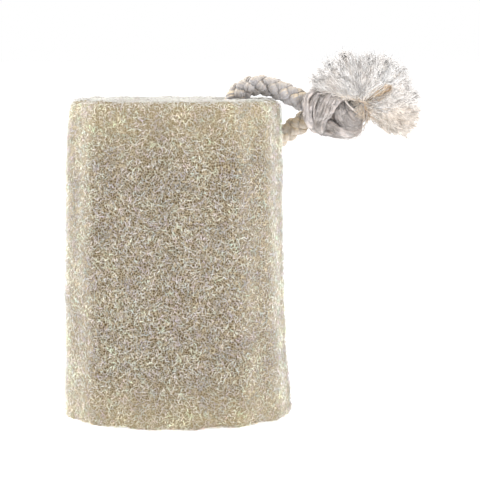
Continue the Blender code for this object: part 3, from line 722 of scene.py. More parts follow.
def warmth(points):  # painted shade, brownish: in the hollow, at the root, close to the knot and below
    warm = tassel["warm"]
    centre, sizes = np.array(tassel["guard"])
    fromRoot = np.linalg.norm(points - np.array(tassel["root"]), axis=1)
    fromKnot = np.linalg.norm((points - centre) / sizes, axis=1) - 1
    near = (warm["atRoot"] * np.exp(-(fromRoot / warm["rootReach"]) ** 2)
            + warm["atKnot"] * np.exp(-(fromKnot / warm["knotReach"]) ** 2)
            + warm["below"] * np.clip((warm["belowFrom"] - points[:, 2]) / warm["belowSpan"], 0, 1))
    return np.clip(np.maximum(warm["inHollow"] * hollowShare(points), near), 0, 1)


def keepOuterShell(piece):  # a remesh can leave closed pockets inside
    takeHold(piece)
    farthest = int(np.argmax(meshPoints(piece.data)[:, 0]))
    bpy.ops.object.mode_set(mode="EDIT")
    selectVerts(piece, lambda vert: vert.index == farthest)
    bpy.ops.mesh.select_linked()
    bpy.ops.mesh.select_all(action="INVERT")
    bpy.ops.mesh.delete(type="VERT")
    bpy.ops.object.mode_set(mode="OBJECT")


def makeLocks(lines, chance):
    tubes = []
    share = np.linspace(0, 1, tassel["lockRings"])
    width = np.interp(share, *np.array(tassel["lockWidth"]).T)
    for index in range(tassel["locks"]):
        size = width * chance.uniform(0.85, 1.15)
        tubes.append(roundTube(lockPlace(lines, index, share), size, tassel["lockSides"], 0.5))
    piece = joinTubes("tasselLocks", tubes)
    evenFaces(piece, tassel["voxel"])
    keepOuterShell(piece)
    points, normals = meshPoints(piece.data), meshPoints(piece.data, "normal")
    clumps = noiseSum(points, tassel["clumpWaves"])
    points = points + normals * (tassel["clump"] * clumps)[:, None]
    points[:, 1] += tassel["hollow"]["depth"] * hollowShare(points)
    setPoints(piece.data, clearOfKnot(points))
    addAttribute(piece.data, "warm", warmth(points))
    # painted shade: the locks are darker where the clumps sink in and lighter where they stand out
    addAttribute(piece.data, "tone", 0.7 + 0.3 * clumps)
    piece.data.shade_smooth()
    return piece


def makeYarns(locks, chance):
    points, faces = modelSpindle("yarn", tassel["yarnRings"])
    count = tassel["yarns"]
    spots, ups = surfaceSpots(locks.data, int(count * tassel["spare"]), chance)
    clear = np.linalg.norm(spots - np.array(tassel["root"]), axis=1) > tassel["bare"]
    chosen = chance.permutation(np.flatnonzero(clear))[:count]
    spots, ups = spots[chosen], ups[chosen]
    away = unit(spots - np.array(tassel["root"]))
    rise = (away * ups).sum(axis=1, keepdims=True)
    heading = away - ups * np.where(rise > 0, rise * tassel["cling"], rise - tassel["liftOff"])
    heading = unit(unit(heading) + tassel["stray"] * chance.normal(0, 1, (count, 3)))
    side = unit(np.cross(heading, chance.normal(0, 1, (count, 3))))
    share = points[:, 2][None, :]
    length = chance.uniform(*tassel["yarnLength"], (count, 1))
    waves = chance.uniform(*tassel["yarnWaves"], (count, 1))
    phase = chance.uniform(0, 2 * np.pi, (count, 1))
    curl = tassel["curl"] * chance.uniform(0.3, 1.5, (count, 1)) * np.sqrt(share)
    thin = tassel["yarnRadius"] * chance.uniform(0.7, 1.3, (count, 1)) * (1 - 0.2 * share)
    sideways = points[:, 0][None, :] * thin + curl * np.sin(2 * np.pi * waves * share + phase)
    upward = points[:, 1][None, :] * thin + curl * np.cos(2 * np.pi * waves * share * 0.8 + phase * 2)
    rooted = spots - ups * tassel["yarnSunk"]
    placed = placeCopies(rooted, (length * (share - tassel["yarnBack"]), heading), (sideways, side),
                         (upward, np.cross(heading, side)))
    over = hollowShare(placed.reshape(-1, 3)).reshape(count, -1).mean(axis=1)
    placed = placed[over < chance.uniform(0.05, 1.2, count)]  # fewer yarns over the hollow
    flat = clearOfKnot(placed.reshape(-1, 3))
    tone = np.repeat(chance.uniform(0.3, 1.0, len(placed)), len(points))
    # painted shade on the lowest yarns
    paintedShadeFrom, paintedShadeSpan = tassel["paintedShadeBelow"]
    tone = tone * (1 - np.clip((paintedShadeFrom - flat[:, 2]) / paintedShadeSpan, 0, 1))
    piece = meshCopies("tasselYarns", flat.reshape(placed.shape), faces, tone=tone, warm=warmth(flat))
    centre, sizes = np.array(tassel["ball"])
    own, ball = meshPoints(piece.data, "normal"), unit((flat - centre) / sizes ** 2)
    share = tassel["softness"] * np.clip(0.5 + (own * ball).sum(axis=1, keepdims=True), 0, 1)
    piece.data.normals_split_custom_set_from_vertices(unit(own * (1 - share) + ball * share).tolist())
    return piece


def makeStrands(lines, locks, chance):  # longer strands that lie on the locks from root to tip
    faces = [face.vertices[:] for face in locks.data.polygons]
    surface = BVHTree.FromPolygons(meshPoints(locks.data).tolist(), faces)
    share = np.linspace(0, 1, tassel["strandRings"])
    routes = []
    for index in range(tassel["strands"]):
        start, end = chance.uniform(*tassel["strandFrom"]), chance.uniform(*tassel["strandTo"])
        route = lockPlace(lines, index, start + (end - start) * share)
        for ring, place in enumerate(route):
            found, normal = surface.find_nearest(Vector(place))[:2]
            route[ring] = found + normal * tassel["strandRadius"]
        routes.append(route)
    for stops in tassel["loose"]:
        route = smoothRoute([(x / 1000, -0.05, z / 1000) for x, z in stops], tassel["strandRings"])
        for ring, place in enumerate(route):
            found = surface.ray_cast(Vector(place), Vector((0, 1, 0)))[0]
            found = found or Vector((place[0], -tassel["looseDepth"], place[2]))
            route[ring] = found - Vector((0, tassel["looseLift"], 0))
        routes.append(route)
    tubes = []
    for route in routes:
        waves, phase = chance.uniform(*tassel["strandWaves"]), chance.uniform(0, 6.28)
        curl = tassel["curl"] * 0.7 * np.sin(2 * np.pi * waves * share + phase)[:, None]
        size = tassel["strandRadius"] * chance.uniform(0.7, 1.3)
        size = size * np.sqrt(np.clip((1.02 - share) / 0.15, 0.1, 1))
        tubes.append(roundTube(smoothRoute(route[::3], len(share)), size, 4, chance.uniform(0.9, 1), curl))
    piece = joinTubes("tasselStrands", tubes)
    points = clearOfKnot(meshPoints(piece.data))
    setPoints(piece.data, points)
    addAttribute(piece.data, "warm", 0.3 * warmth(points))
    return piece


def makeTassel():
    chance = np.random.default_rng(tassel["seed"])
    locks = makeLocks(fanLocks(tassel["locks"], chance), chance)
    yarns = makeYarns(locks, chance)
    return [locks, yarns, makeStrands(fanLocks(tassel["strands"], chance), locks, chance)]


tasselPieces = makeTassel()
print("tassel combed out,", sum(len(piece.data.polygons) for piece in tasselPieces), "faces")


# Sponge: the body under the net, cut from an oval column with its seed channels

loofah = {
    "height": 0.150,
    "halfWidth": (0.0540, 0.0494),  # at the foot and at the top
    "halfDepth": (0.0365, 0.0335),
    "outlinePower": 2.2,
    "rims": ((0.150, 0.0046), (0.0, 0.0024)),  # height of each cut end and the rounding of its edge
    "leftBulge": (  # height, and how far the side stands out there
        (0, 0.0004), (0.03, 0.0004), (0.055, 0.0010), (0.115, 0.0012), (0.135, 0.0006), (0.15, 0.0)),
    "rightBulge": ((0, 0.0016), (0.012, 0.0010), (0.03, -0.0003), (0.08, -0.0004), (0.12, 0.0)),
    "voxel": 0.0018,
    "sunk": 0.00075,  # how far the body goes back under the net that was laid on it
    "channels": (
        {"centre": (0.0255, 0.0005), "half": (0.0085, 0.0062), "turn": 0},
        {"centre": (-0.0170, 0.0125), "half": (0.0085, 0.0055), "turn": 160},
        {"centre": (-0.0175, -0.0120), "half": (0.0085, 0.0055), "turn": 20},
    ),
    "channelDepth": 0.016,  # how far down the net still lines a channel
    "ropeRoom": 0.0006,  # between the rope and the side of its tunnel
    "ribHeight": 0.0005,
    "ribCount": 14,
    "ribLean": 4,  # radians of turn for each metre up
    "ribStart": 0.9,
    "lumpHeight": 0.0005,
    "lumpWaves": ((0.014, 1, 0.0), (0.006, 0.6, 7.3)),
}


def turnOf(points):  # the way round the oval, in radians
    return np.arctan2(points[:, 1] / loofah["halfDepth"][0], points[:, 0] / loofah["halfWidth"][0])


def outlineAt(angle, height):  # half width and half depth follow the taper
    squash, rise = 2 / loofah["outlinePower"], height / loofah["height"]
    halves = [low + (high - low) * rise for low, high in (loofah["halfWidth"], loofah["halfDepth"])]
    return [np.sign(part) * np.abs(part) ** squash * half
            for part, half in zip((np.cos(angle), np.sin(angle)), halves)]


def onOuterSide(points):  # true on the outer side, false in a channel
    return np.hypot(points[:, 0], points[:, 1]) > 0.85 * np.hypot(*outlineAt(turnOf(points), points[:, 2]))


def addColumn():
    bpy.ops.mesh.primitive_cylinder_add(
        vertices=160, radius=1, depth=loofah["height"], end_fill_type="TRIFAN",
        location=(0, 0, loofah["height"] / 2))
    column = bpy.context.object
    column.name = "loofahBody"
    freezePlace(column)
    points = meshPoints(column.data)
    x, y = outlineAt(np.arctan2(points[:, 1], points[:, 0]), points[:, 2])
    radius = np.hypot(points[:, 0], points[:, 1])
    points[:, 0], points[:, 1] = x * radius, y * radius
    setPoints(column.data, points)
    bpy.ops.object.mode_set(mode="EDIT")
    for height, rounding in loofah["rims"]:
        bpy.ops.mesh.select_all(action="DESELECT")
        shape = bmesh.from_edit_mesh(column.data)
        for edge in shape.edges:
            edge.select_set(all(abs(vert.co.z - height) < 0.0001 and vert.co.xy.length > 0.02
                                for vert in edge.verts))
        bmesh.update_edit_mesh(column.data)
        bpy.ops.mesh.bevel(offset=rounding, segments=4, affect="EDGES")
    bpy.ops.object.mode_set(mode="OBJECT")
    return column


def addCutter(channel):
    bpy.ops.mesh.primitive_cylinder_add(
        vertices=32, radius=1, depth=loofah["height"] * 1.2, scale=(*channel["half"], 1),
        location=(*channel["centre"], loofah["height"] / 2), rotation=(0, 0, math.radians(channel["turn"])))
    cutter = bpy.context.object
    cutter.name = "channelCutter"
    freezePlace(cutter)
    return cutter


def addTunnel():
    curve = bpy.data.curves.new("tunnelCutter", "CURVE")
    curve.dimensions = "3D"
    curve.bevel_depth = rope["diameter"] / 2 + loofah["ropeRoom"]
    curve.bevel_resolution = 4
    curve.use_fill_caps = True
    spline = curve.splines.new("POLY")
    spline.points.add(len(ropeRoute) - 1)
    for place, point in zip(spline.points, ropeRoute):
        place.co = (*point, 1)
    tunnel = addPiece("tunnelCutter", curve)
    takeHold(tunnel)
    bpy.ops.object.convert(target="MESH")
    bpy.ops.object.mode_set(mode="EDIT")
    bpy.ops.mesh.select_all(action="SELECT")
    bpy.ops.mesh.remove_doubles(threshold=0.00001)
    bpy.ops.mesh.normals_make_consistent(inside=False)
    bpy.ops.object.mode_set(mode="OBJECT")
    return tunnel


def cutAway(piece, cutter):
    cut = piece.modifiers.new("cut", "BOOLEAN")
    cut.operation = "DIFFERENCE"
    cut.object = cutter
    applyAll(piece)
    removePiece(cutter)


def relief(points):  # soft ribs and lumps
    ribs = np.cos(loofah["ribCount"] * turnOf(points) + loofah["ribLean"] * points[:, 2] + loofah["ribStart"])
    return loofah["ribHeight"] * ribs + loofah["lumpHeight"] * noiseSum(points, loofah["lumpWaves"])


def bulgeSides(points):  # the two narrow sides stand out a little, each its own way
    left, right = (np.interp(points[:, 2], *np.array(loofah[side]).T) for side in ("leftBulge", "rightBulge"))
    far = np.clip(np.abs(points[:, 0]) / loofah["halfWidth"][1], 0, 1) ** 3
    points[:, 0] += np.where(points[:, 0] < 0, -left, right) * far
    return points


def makeBody():
    body = addColumn()
    for channel in loofah["channels"]:
        cutAway(body, addCutter(channel))
    cutAway(body, addTunnel())
    evenFaces(body, loofah["voxel"])
    points, normals = meshPoints(body.data), meshPoints(body.data, "normal")
    points = points + normals * (relief(points) * onOuterSide(points))[:, None]
    setPoints(body.data, bulgeSides(points))
    return body


body = makeBody()
print("sponge body cut,", len(body.data.polygons), "faces")


# Net: thin curved fibres laid over the body at several depths, with pits left between them

net = {
    "layers": (
        # painted shade: the deeper the layer, the lower its fibres' tones, so the inner fibres are painted
        # darker
        {"name": "netInner", "count": 18000, "depth": -0.00074, "length": 0.0021, "radius": 0.00018,
         "rings": 1, "tones": (0.0, 0.45)},
        {"name": "netMiddle", "count": 28000, "depth": -0.00044, "length": 0.0020, "radius": 0.00017,
         "rings": 1, "tones": (0.1, 0.7)},
        {"name": "netOuter", "count": 16400, "depth": -0.00012, "length": 0.0026, "radius": 0.00014,
         "rings": 2, "tones": (0.82, 1.0)},
    ),
    "spare": 1.45,  # places drawn for each fibre, as some fall in pits or channels
    "spread": 0.00014,  # of each layer's depth
    "families": (0, 62, 121),  # degrees between the ways that the fibres run
    "stray": 9,
    "swirl": (0.016, 75),  # size of the swirls in metres, and how far they turn the fibres
    "bend": 0.14,
    "arch": (0.02, 0.11),
    "pits": 800,
    "pitHalf": (0.0006, 0.0016),
    "sideFrom": 0.42,  # how far the surface faces sideways where a narrow side starts
    "sideSpan": 0.53,
    "cutFrom": 0.1470,  # the fibres turn to the cut top's greyer colour from here up, fully after the span; it is darker too, as painted shade, since the top face gets the most light
    "cutSpan": 0.0025,
    "hairs": {"name": "netHairs", "count": 5000, "length": 0.0019, "radius": 0.00007, "rings": 1,
              "thickness": (0.7, 1.3), "lean": (0.5, 1.6), "twist": (0, 0), "tones": (0.8, 1),
              "standOff": 0.3, "side": 0.72},
    "seed": 2203,
}


def makePits(chance):
    spots = surfaceSpots(body.data, net["pits"], chance)[0]
    tree = kdtree.KDTree(len(spots))
    for index, spot in enumerate(spots):
        tree.insert(spot, index)
    tree.balance()
    return tree, chance.uniform(*net["pitHalf"], len(spots))


def fibreWays(spots, ups, chance):  # the fibres run in a few crossing families that swirl over the sponge
    level = np.where(np.abs(ups[:, 2:]) > 0.8, np.array([[0.0, 1.0, 0.0]]), np.array([[0.0, 0.0, 1.0]]))
    across = unit(np.cross(ups, level))
    size, turn = net["swirl"]
    angle = turn * noiseAt(spots, size) + chance.choice(net["families"], len(spots))
    angle = np.radians(angle + chance.normal(0, net["stray"], len(spots)))[:, None]
    return np.cos(angle) * across + np.sin(angle) * np.cross(ups, across)


def sideShare(ups):  # 1 on the two narrow sides of the sponge, 0 on its front and back
    return np.clip((np.abs(ups[:, 0]) - net["sideFrom"]) / net["sideSpan"], 0, 1)


def makeNetLayer(layer, pits, chance):
    spots, ups = surfaceSpots(body.data, int(layer["count"] * net["spare"]), chance)
    fromEnds = np.minimum(spots[:, 2], loofah["height"] - spots[:, 2])
    keep = onOuterSide(spots) | (fromEnds <= loofah["channelDepth"])
    tree, halves = pits
    for index in np.flatnonzero(keep):
        pit, distance = tree.find(spots[index])[1:]
        keep[index] = distance > halves[pit]
    spots, ups = spots[keep], ups[keep]
    chosen = chance.permutation(len(spots))[:layer["count"]]
    spots, ups = spots[chosen], ups[chosen]
    count = len(spots)
    aheads = fibreWays(spots, ups, chance)
    sizes = {
        "length": layer["length"] * chance.uniform(0.65, 1.25, count),
        "radius": layer["radius"] * chance.uniform(0.75, 1.25, count),
        "bend": chance.uniform(-net["bend"], net["bend"], count),
        "twist": chance.uniform(-0.8, 0.8, count),
        "arch": chance.uniform(*net["arch"], count),
        "depth": layer["depth"] + net["spread"] * chance.normal(0, 1, count),
        "tone": chance.uniform(*layer["tones"], count),
    }
    piece = layFibres(layer["name"], layer["rings"], spots, aheads, ups, sizes)
    heights = meshPoints(piece.data)[:, 2]
    addAttribute(piece.data, "side", np.repeat(sideShare(ups), len(heights) // count))
    addAttribute(piece.data, "cutEnd", np.clip((heights - net["cutFrom"]) / net["cutSpan"], 0, 1))
    return piece


def makeNetHairs(chance):  # fine ends that stand off the two sides, where the sponge is handled
    hairs = net["hairs"]
    spots, ups = surfaceSpots(body.data, hairs["count"] * 6, chance)
    keep = np.flatnonzero((np.abs(ups[:, 0]) > hairs["side"]) & onOuterSide(spots))[:hairs["count"]]
    return raiseHairs(hairs, spots[keep], ups[keep], chance)


def makeNet():
    chance = np.random.default_rng(net["seed"])
    pits = makePits(chance)
    return [makeNetLayer(layer, pits, chance) for layer in net["layers"]] + [makeNetHairs(chance)]


def sinkBody():
    points, normals = meshPoints(body.data), meshPoints(body.data, "normal")
    points = points - normals * loofah["sunk"]
    points[:, 2] = np.maximum(points[:, 2], 0.0002)
    addAttribute(body.data, "side", sideShare(normals))
    setPoints(body.data, points)
    body.data.shade_smooth()


netPieces = makeNet()
sinkBody()
for piece in [body] + netPieces:
    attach(piece, "root")
    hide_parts("loofah_sponge")
print("net laid,", sum(len(piece.data.polygons) for piece in netPieces), "faces")


# Fuzz: short loose hairs that stand off the cotton

fuzz = {
    "rope": {"name": "ropeFuzz", "count": 2000, "length": 0.0020, "radius": 0.00007},
    "knot": {"name": "knotFuzz", "count": 1500, "length": 0.0028, "radius": 0.00008},
    "coat": {"rings": 2, "thickness": (1, 1), "lean": (0.05, 0.7), "twist": (-1.2, 1.2), "tones": (0, 1),
             "standOff": 0.42},
    "seed": 331,
}


def makeFuzz(own, piece, chance):
    spots, ups = surfaceSpots(piece.data, own["count"], chance)
    return raiseHairs({**fuzz["coat"], **own}, spots, ups, chance)


fuzzChance = np.random.default_rng(fuzz["seed"])
ropeFuzz = makeFuzz(fuzz["rope"], braidedRope, fuzzChance)
knotFuzz = makeFuzz(fuzz["knot"], knotPieces[0], fuzzChance)
knotPieces.append(knotFuzz)
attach(ropeFuzz, "root")
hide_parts("rope_loop")
for piece in knotPieces:
    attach(piece, "root")
    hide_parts("rope_knot")
for piece in tasselPieces:
    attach(piece, "root")
    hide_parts("rope_tassel")
print("fuzz raised")


# Materials

def newMaterial(name):
    material = bpy.data.materials.new(name)
    material.use_nodes = True
    return material, material.node_tree, material.node_tree.nodes["Principled BSDF"]


def feed(tree, node, values):  # each input takes a plain value or another node's output
    for name, value in values.items():
        if isinstance(value, bpy.types.NodeSocket):
            tree.links.new(value, node.inputs[name])
        else:
            node.inputs[name].default_value = value


def addNode(tree, kind, values=None, **settings):
    node = tree.nodes.new("ShaderNode" + kind)
    for name, value in settings.items():
        setattr(node, name, value)
    feed(tree, node, values or {})
    return node.outputs


def newGroup(name, inputs, outputs):
    group = bpy.data.node_groups.new(name, "ShaderNodeTree")
    for way, sockets in (("INPUT", inputs), ("OUTPUT", outputs)):
        for socketName, kind in sockets.items():
            group.interface.new_socket(name=socketName, in_out=way, socket_type="NodeSocket" + kind)
    return group, group.nodes.new("NodeGroupInput").outputs, group.nodes.new("NodeGroupOutput")


def attribute(tree, name):
    return addNode(tree, "Attribute", attribute_name=name)["Fac"]


def addNoise(tree, place, scale, detail=2):
    return addNode(tree, "TexNoise", {"Vector": place, "Scale": scale, "Detail": detail})


def mixed(tree, share, first, second, blend="MIX"):
    return addNode(tree, "Mix", {"Factor": share, "A": first, "B": second},
                   data_type="RGBA", blend_type=blend)["Result"]


def sumOf(tree, operation, first, second):
    return addNode(tree, "Math", {0: first, 1: second}, operation=operation)["Value"]


def spread(tree, value, low, high, lowest=0.0, highest=1.0):  # stretches a value to a new range
    return addNode(tree, "MapRange", {"Value": value, "From Min": low, "From Max": high,
                                      "To Min": lowest, "To Max": highest})["Result"]


def bump(tree, height, strength, distance):
    return addNode(tree, "Bump", {"Strength": strength, "Distance": distance, "Height": height})["Normal"]


def mottleGroup():  # slow and fine changes of colour over a surface
    group, given, out = newGroup(
        "mottle",
        {"Vector": "Vector", "Patch Scale": "Float", "Speck Scale": "Float", "Colour": "Color",
         "Patch Colour": "Color", "Speck Colour": "Color", "Speck Amount": "Float"},
        {"Colour": "Color", "Speck": "Float"})
    patch = spread(group, addNoise(group, given["Vector"], given["Patch Scale"], 3)["Fac"], 0.38, 0.62)
    speck = spread(group, addNoise(group, given["Vector"], given["Speck Scale"])["Fac"], 0.45, 0.68)
    slow = mixed(group, patch, given["Colour"], given["Patch Colour"])
    amount = sumOf(group, "MULTIPLY", speck, given["Speck Amount"])
    feed(group, out, {"Colour": mixed(group, amount, slow, given["Speck Colour"]), "Speck": speck})
    return group


def threadGroup():  # fine threads along a yarn, from its UV map: across in turns and along in centimetres
    group, given, out = newGroup(
        "threads", {"Vector": "Vector", "Threads Round": "Float", "Along Scale": "Float"},
        {"Height": "Float", "Shade": "Float"})
    parts = addNode(group, "SeparateXYZ", {"Vector": given["Vector"]})
    stretched = addNode(group, "CombineXYZ", {
        "X": sumOf(group, "MULTIPLY", parts["X"], given["Threads Round"]),
        "Y": sumOf(group, "MULTIPLY", parts["Y"], given["Along Scale"])})["Vector"]
    height = addNoise(group, stretched, 1.0)["Fac"]
    feed(group, out, {"Height": height, "Shade": spread(group, height, 0.35, 0.65)})
    return group


mottle = mottleGroup()
threads = threadGroup()


def addMottle(tree, place, look):
    return addNode(tree, "Group", {
        "Vector": place, "Patch Scale": look["patchScale"], "Speck Scale": look["speckScale"],
        "Colour": look["colour"], "Patch Colour": look["patch"], "Speck Colour": look["speck"],
        "Speck Amount": look["speckAmount"]}, node_tree=mottle)


fibreLook = {
    "patchScale": 95.0, "speckScale": 1500.0, "speckAmount": 0.6,
    "colour": (0.97, 0.90, 0.83, 1), "patch": (0.94, 0.91, 0.75, 1), "speck": (0.66, 0.55, 0.40, 1),
    "middle": (0.915, 0.97, 1.09, 1), "end": (0.985, 0.99, 0.96, 1), "side": (0.90, 0.955, 1.04, 1),
    # darker is the painted shade colour of the low-tone fibres in the deeper layers, paler that of the outer
    # ones
    "darker": (0.40, 0.34, 0.24, 1), "paler": (1.0, 1.0, 1.0, 1), "cutEnd": (0.575, 0.57, 0.555, 1),
    # the colours of the body under the net are painted shade of its holes: darkest in the middle, lighter and
    # more golden towards the top and foot, and lighter on the narrow sides as painted light
    "deepShade": (0.10, 0.062, 0.02, 1), "deepEnd": (0.29, 0.225, 0.115, 1), "deepSide": (0.42, 0.375, 0.30, 1),
    "deepWeb": (0.50, 0.42, 0.29, 1),
    # heights between which the sponge turns to the look of its top, and of its foot
    "topEnd": (0.118, 0.146),
    "footEnd": (0.026, 0.004),
    "paintedSideLight": 0.55, "paintedEndLight": 0.5,  # painted light: the least tone of the fibres on the narrow sides and towards the ends, which makes them paler there
    "cutEndGreyAndShade": 0.75,
    "cellScale": 920, "cellDrift": 0.0012,  # the dark cells under the net, painted shade in its holes, and how uneven they are
}


def endShare(tree, place):  # rises towards the top and the foot of the sponge
    height = addNode(tree, "SeparateXYZ", {"Vector": place})["Z"]
    return sumOf(tree, "MAXIMUM", spread(tree, height, *fibreLook["topEnd"]),
                 spread(tree, height, *fibreLook["footEnd"]))


def drifted(tree, place, colour):  # small blotches, lighter and darker, pinker and greener
    hue = addNoise(tree, place, 300)["Color"]
    tint = addNode(tree, "VectorMath", {0: hue, 1: (0.50, 0.50, 0.62), 2: (0.76, 0.76, 0.70)},
                   operation="MULTIPLY_ADD")["Vector"]
    light = spread(tree, addNoise(tree, place, 95, 3)["Fac"], 0.25, 0.75, 0.58, 1.44)
    both = addNode(tree, "VectorMath", {"Vector": tint, "Scale": light}, operation="SCALE")["Vector"]
    return mixed(tree, 1.0, colour, both, "MULTIPLY")


def makeFibreFinish():
    material, tree, shader = newMaterial("loofahFibre")
    place = addNode(tree, "TexCoord")["Object"]
    toEnds, toSide = endShare(tree, place), attribute(tree, "side")
    mottled = addMottle(tree, place, fibreLook)
    # painted light: the fibres are lifted to a paler tone on the narrow sides and towards the top and foot
    lift = sumOf(tree, "MAXIMUM", sumOf(tree, "MULTIPLY", toSide, fibreLook["paintedSideLight"]),
                 sumOf(tree, "MULTIPLY", toEnds, fibreLook["paintedEndLight"]))
    tone = sumOf(tree, "MAXIMUM", attribute(tree, "tone"), lift)
    shade = mixed(tree, tone, fibreLook["darker"], fibreLook["paler"])
    colour = drifted(tree, place, mixed(tree, 1.0, mottled["Colour"], shade, "MULTIPLY"))
    light = mixed(tree, toSide, mixed(tree, toEnds, fibreLook["middle"], fibreLook["end"]), fibreLook["side"])
    # the cut top is given a greyer colour, partly its own and partly painted shade, darker because it gets
    # the most light
    cutEndGreyAndShade = sumOf(tree, "MULTIPLY", attribute(tree, "cutEnd"), fibreLook["cutEndGreyAndShade"])
    feed(tree, shader, {
        "Base Color": mixed(tree, cutEndGreyAndShade, mixed(tree, 1.0, colour, light, "MULTIPLY"), fibreLook["cutEnd"]),
        "Roughness": spread(tree, mottled["Speck"], 0, 1, 0.62, 0.85),
        "Sheen Weight": 0.5, "Sheen Roughness": 0.5,
        "Normal": bump(tree, mottled["Speck"], 0.4, 0.0002)})
    return material


def makeDeepShadeFinish():  # the body seen through the net, painted as shade: a web of deeper fibres round dark cells, darkest in the middle, lighter and more golden towards the ends, and lighter on the sides as painted light
    material, tree, shader = newMaterial("loofahDeepShade")
    place = addNode(tree, "TexCoord")["Object"]
    drift = addNoise(tree, place, 500)["Color"]
    shifted = addNode(tree, "VectorMath", {0: drift, 1: [fibreLook["cellDrift"]] * 3, 2: place},
                      operation="MULTIPLY_ADD")["Vector"]
    cells = addNode(tree, "TexVoronoi", {"Vector": shifted, "Scale": fibreLook["cellScale"]},
                    feature="DISTANCE_TO_EDGE")
    web = spread(tree, cells["Distance"], 0.05, 0.17, 1.0, 0.0)
    middle = mixed(tree, endShare(tree, place), fibreLook["deepShade"], fibreLook["deepEnd"])
    bottom = mixed(tree, attribute(tree, "side"), middle, fibreLook["deepSide"])
    feed(tree, shader, {
        "Base Color": mixed(tree, web, bottom, fibreLook["deepWeb"]),
        "Roughness": spread(tree, web, 0, 1, 0.92, 0.75),
        "Normal": bump(tree, web, 0.9, 0.0006)})
    return material


def makeCottonFinish(look):
    material, tree, shader = newMaterial(look["name"])
    base = addMottle(tree, addNode(tree, "TexCoord")["Object"], look)
    lines = addNode(tree, "Group", {
        "Vector": addNode(tree, "UVMap", uv_map="yarnWay")["UV"], "Threads Round": look["threads"],
        "Along Scale": look["along"]}, node_tree=threads)
    # painted shade in the creases, and darker thread lines
    hollow = sumOf(tree, "MULTIPLY", attribute(tree, "paintedCreaseShade"), look["paintedCreaseShadeAmount"])
    thread = sumOf(tree, "MULTIPLY", lines["Shade"], look["threadAmount"])
    shade = mixed(tree, sumOf(tree, "MAXIMUM", hollow, thread), base["Colour"], look["paintedCreaseShade"])
    # the tone scales the colour: a small random tone on the rope's strands, painted light and shade on the
    # knot's hanks
    tone = spread(tree, attribute(tree, "tone"), 0, 1, *look["toneRange"])
    lit = addNode(tree, "VectorMath", {"Vector": shade, "Scale": tone}, operation="SCALE")["Vector"]
    feed(tree, shader, {
        # painted warm light on the rope's underside and lower leg, painted brownish shade on the tassel; the
        # knot has none
        "Base Color": mixed(tree, attribute(tree, "warm"), lit, look["warm"], "MULTIPLY"),
        "Roughness": spread(tree, lines["Shade"], 0, 1, 0.82, 0.95),
        "Sheen Weight": 0.4, "Sheen Roughness": 0.6,
        "Subsurface Weight": 0.25, "Subsurface Radius": (1.0, 0.85, 0.7), "Subsurface Scale": 0.0015,
        "Normal": bump(tree, lines["Height"], 0.8, 0.0004)})
    return material


def makeYarnFinish(look):
    material, tree, shader = newMaterial(look["name"])
    base = addMottle(tree, addNode(tree, "TexCoord")["Object"], look)
    # a low tone darkens a yarn: at random for each yarn, and as painted shade on the lowest ones
    dark = spread(tree, attribute(tree, "tone"), 0, 1, 1, 0)
    shade = mixed(tree, dark, base["Colour"], look["shade"], "MULTIPLY")
    feed(tree, shader, {
        "Base Color": mixed(tree, attribute(tree, "warm"), shade, look["warm"], "MULTIPLY"),
        "Roughness": spread(tree, base["Speck"], 0, 1, 0.78, 0.95),
        "Sheen Weight": 0.8,
        "Subsurface Weight": 0.25, "Subsurface Radius": (1.0, 0.92, 0.84), "Subsurface Scale": 0.002,
        "Normal": bump(tree, base["Speck"], 0.3, 0.0001)})
    return material


ropeLook = {
    "name": "cottonRope", "patchScale": 160.0, "speckScale": 900.0, "speckAmount": 0.5,
    "threads": 20.0, "along": 5.0, "paintedCreaseShadeAmount": 0.24, "threadAmount": 0.60, "toneRange": (0.94, 1.06),
    "colour": (0.40, 0.40, 0.43, 1), "patch": (0.39, 0.38, 0.39, 1), "speck": (0.335, 0.315, 0.305, 1),
    "paintedCreaseShade": (0.30, 0.25, 0.215, 1), "warm": (1.78, 1.52, 1.04, 1),
}
knotLook = dict(
    ropeLook, name="cottonKnot", threads=22.0, paintedCreaseShadeAmount=0.52, threadAmount=0.42, toneRange=(0.74, 1.34),
    colour=(0.54, 0.50, 0.49, 1), patch=(0.51, 0.46, 0.435, 1), speck=(0.37, 0.32, 0.285, 1),
    paintedCreaseShade=(0.20, 0.14, 0.10, 1), warm=(0.95, 0.81, 0.62, 1))
yarnLook = {
    "name": "tasselYarn", "patchScale": 90.0, "speckScale": 1100.0, "speckAmount": 0.45,
    "colour": (0.70, 0.69, 0.69, 1), "patch": (0.71, 0.67, 0.645, 1), "speck": (0.645, 0.60, 0.54, 1),
    "shade": (0.88, 0.85, 0.82, 1), "warm": (0.92, 0.70, 0.43, 1),
}
# painted light: the locks under the yarns are paler than the yarns, so the gaps between yarns, where shade
# falls, look lighter
lockLook = dict(
    yarnLook, name="tasselLock", colour=(0.82, 0.80, 0.78, 1), patch=(0.83, 0.78, 0.74, 1),
    speck=(0.77, 0.71, 0.64, 1), warm=(0.80, 0.57, 0.32, 1))

yarnFinish = makeYarnFinish(yarnLook)
finishes = (
    (netPieces, makeFibreFinish()),
    ([body], makeDeepShadeFinish()),
    ([braidedRope, ropeFuzz], makeCottonFinish(ropeLook)),
    (knotPieces, makeCottonFinish(knotLook)),
    (tasselPieces[:1], makeYarnFinish(lockLook)),
    (tasselPieces[1:], yarnFinish),
)
for pieces, finish in finishes:
    for piece in pieces:
        piece.data.materials.append(finish)
print("materials made")


# Studio: pale floor, white surround and soft lights

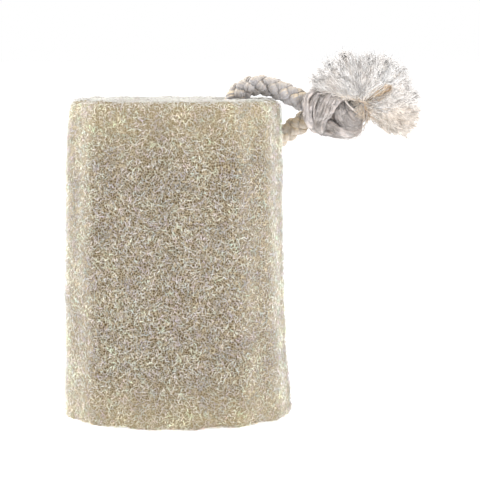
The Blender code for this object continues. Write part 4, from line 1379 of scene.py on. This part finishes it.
studio = {
    "surround": 0.62,
    "lights": (
        {"name": "topLight", "place": (0.0, -0.05, 0.60), "size": 0.6, "watts": 1.8},
        {"name": "leftLight", "place": (-0.80, 0.14, 0.20), "size": 0.9, "watts": 18.5},
        {"name": "rightLight", "place": (0.80, -0.06, 0.20), "size": 0.9, "watts": 6.2},
        {"name": "frontLight", "place": (0.70, -0.40, 0.20), "size": 0.9, "watts": 5.4},
    ),
    "sky": {"angle": 100, "strength": 0.35, "turn": (-12, 0, 0)},
    "floor": {"colour": (0.85, 0.85, 0.85, 1), "glow": 0.60},
}


def addLight(name, place, size, watts):
    bpy.ops.object.light_add(type="AREA", location=place)
    light = bpy.context.object
    light.name = name
    light.data.size = size
    light.data.energy = watts
    light.rotation_euler = (Vector((0, 0, 0.08)) - Vector(place)).to_track_quat("-Z", "Y").to_euler()


def addSky():  # a broad overhead light that keeps the floor white far behind the object
    bpy.ops.object.light_add(type="SUN", rotation=[math.radians(turn) for turn in studio["sky"]["turn"]])
    sky = bpy.context.object
    sky.name = "skyLight"
    sky.data.angle = math.radians(studio["sky"]["angle"])
    sky.data.energy = studio["sky"]["strength"]


def addFloor():
    bpy.ops.mesh.primitive_plane_add(size=30, location=(0, 0, 0))
    floor = bpy.context.object
    floor.name = "studioFloor"
    material, tree, shader = newMaterial("paleFloor")
    feed(tree, shader, {
        "Base Color": studio["floor"]["colour"], "Emission Color": (1, 1, 1, 1),
        "Emission Strength": studio["floor"]["glow"], "Roughness": 0.9})
    floor.data.materials.append(material)


def addSurround():  # white to the camera, and dimmer as a light
    world = bpy.data.worlds.new("studioWorld")
    world.use_nodes = True
    tree = world.node_tree
    seen = addNode(tree, "LightPath")["Is Camera Ray"]
    feed(tree, tree.nodes["Background"], {
        "Color": (1, 1, 1, 1), "Strength": spread(tree, seen, 0, 1, studio["surround"], 1.0)})
    bpy.context.scene.world = world
    bpy.context.scene.view_settings.view_transform = "Standard"


addFloor()
addSurround()
for light in studio["lights"]:
    addLight(**light)
addSky()
print("studio lit")
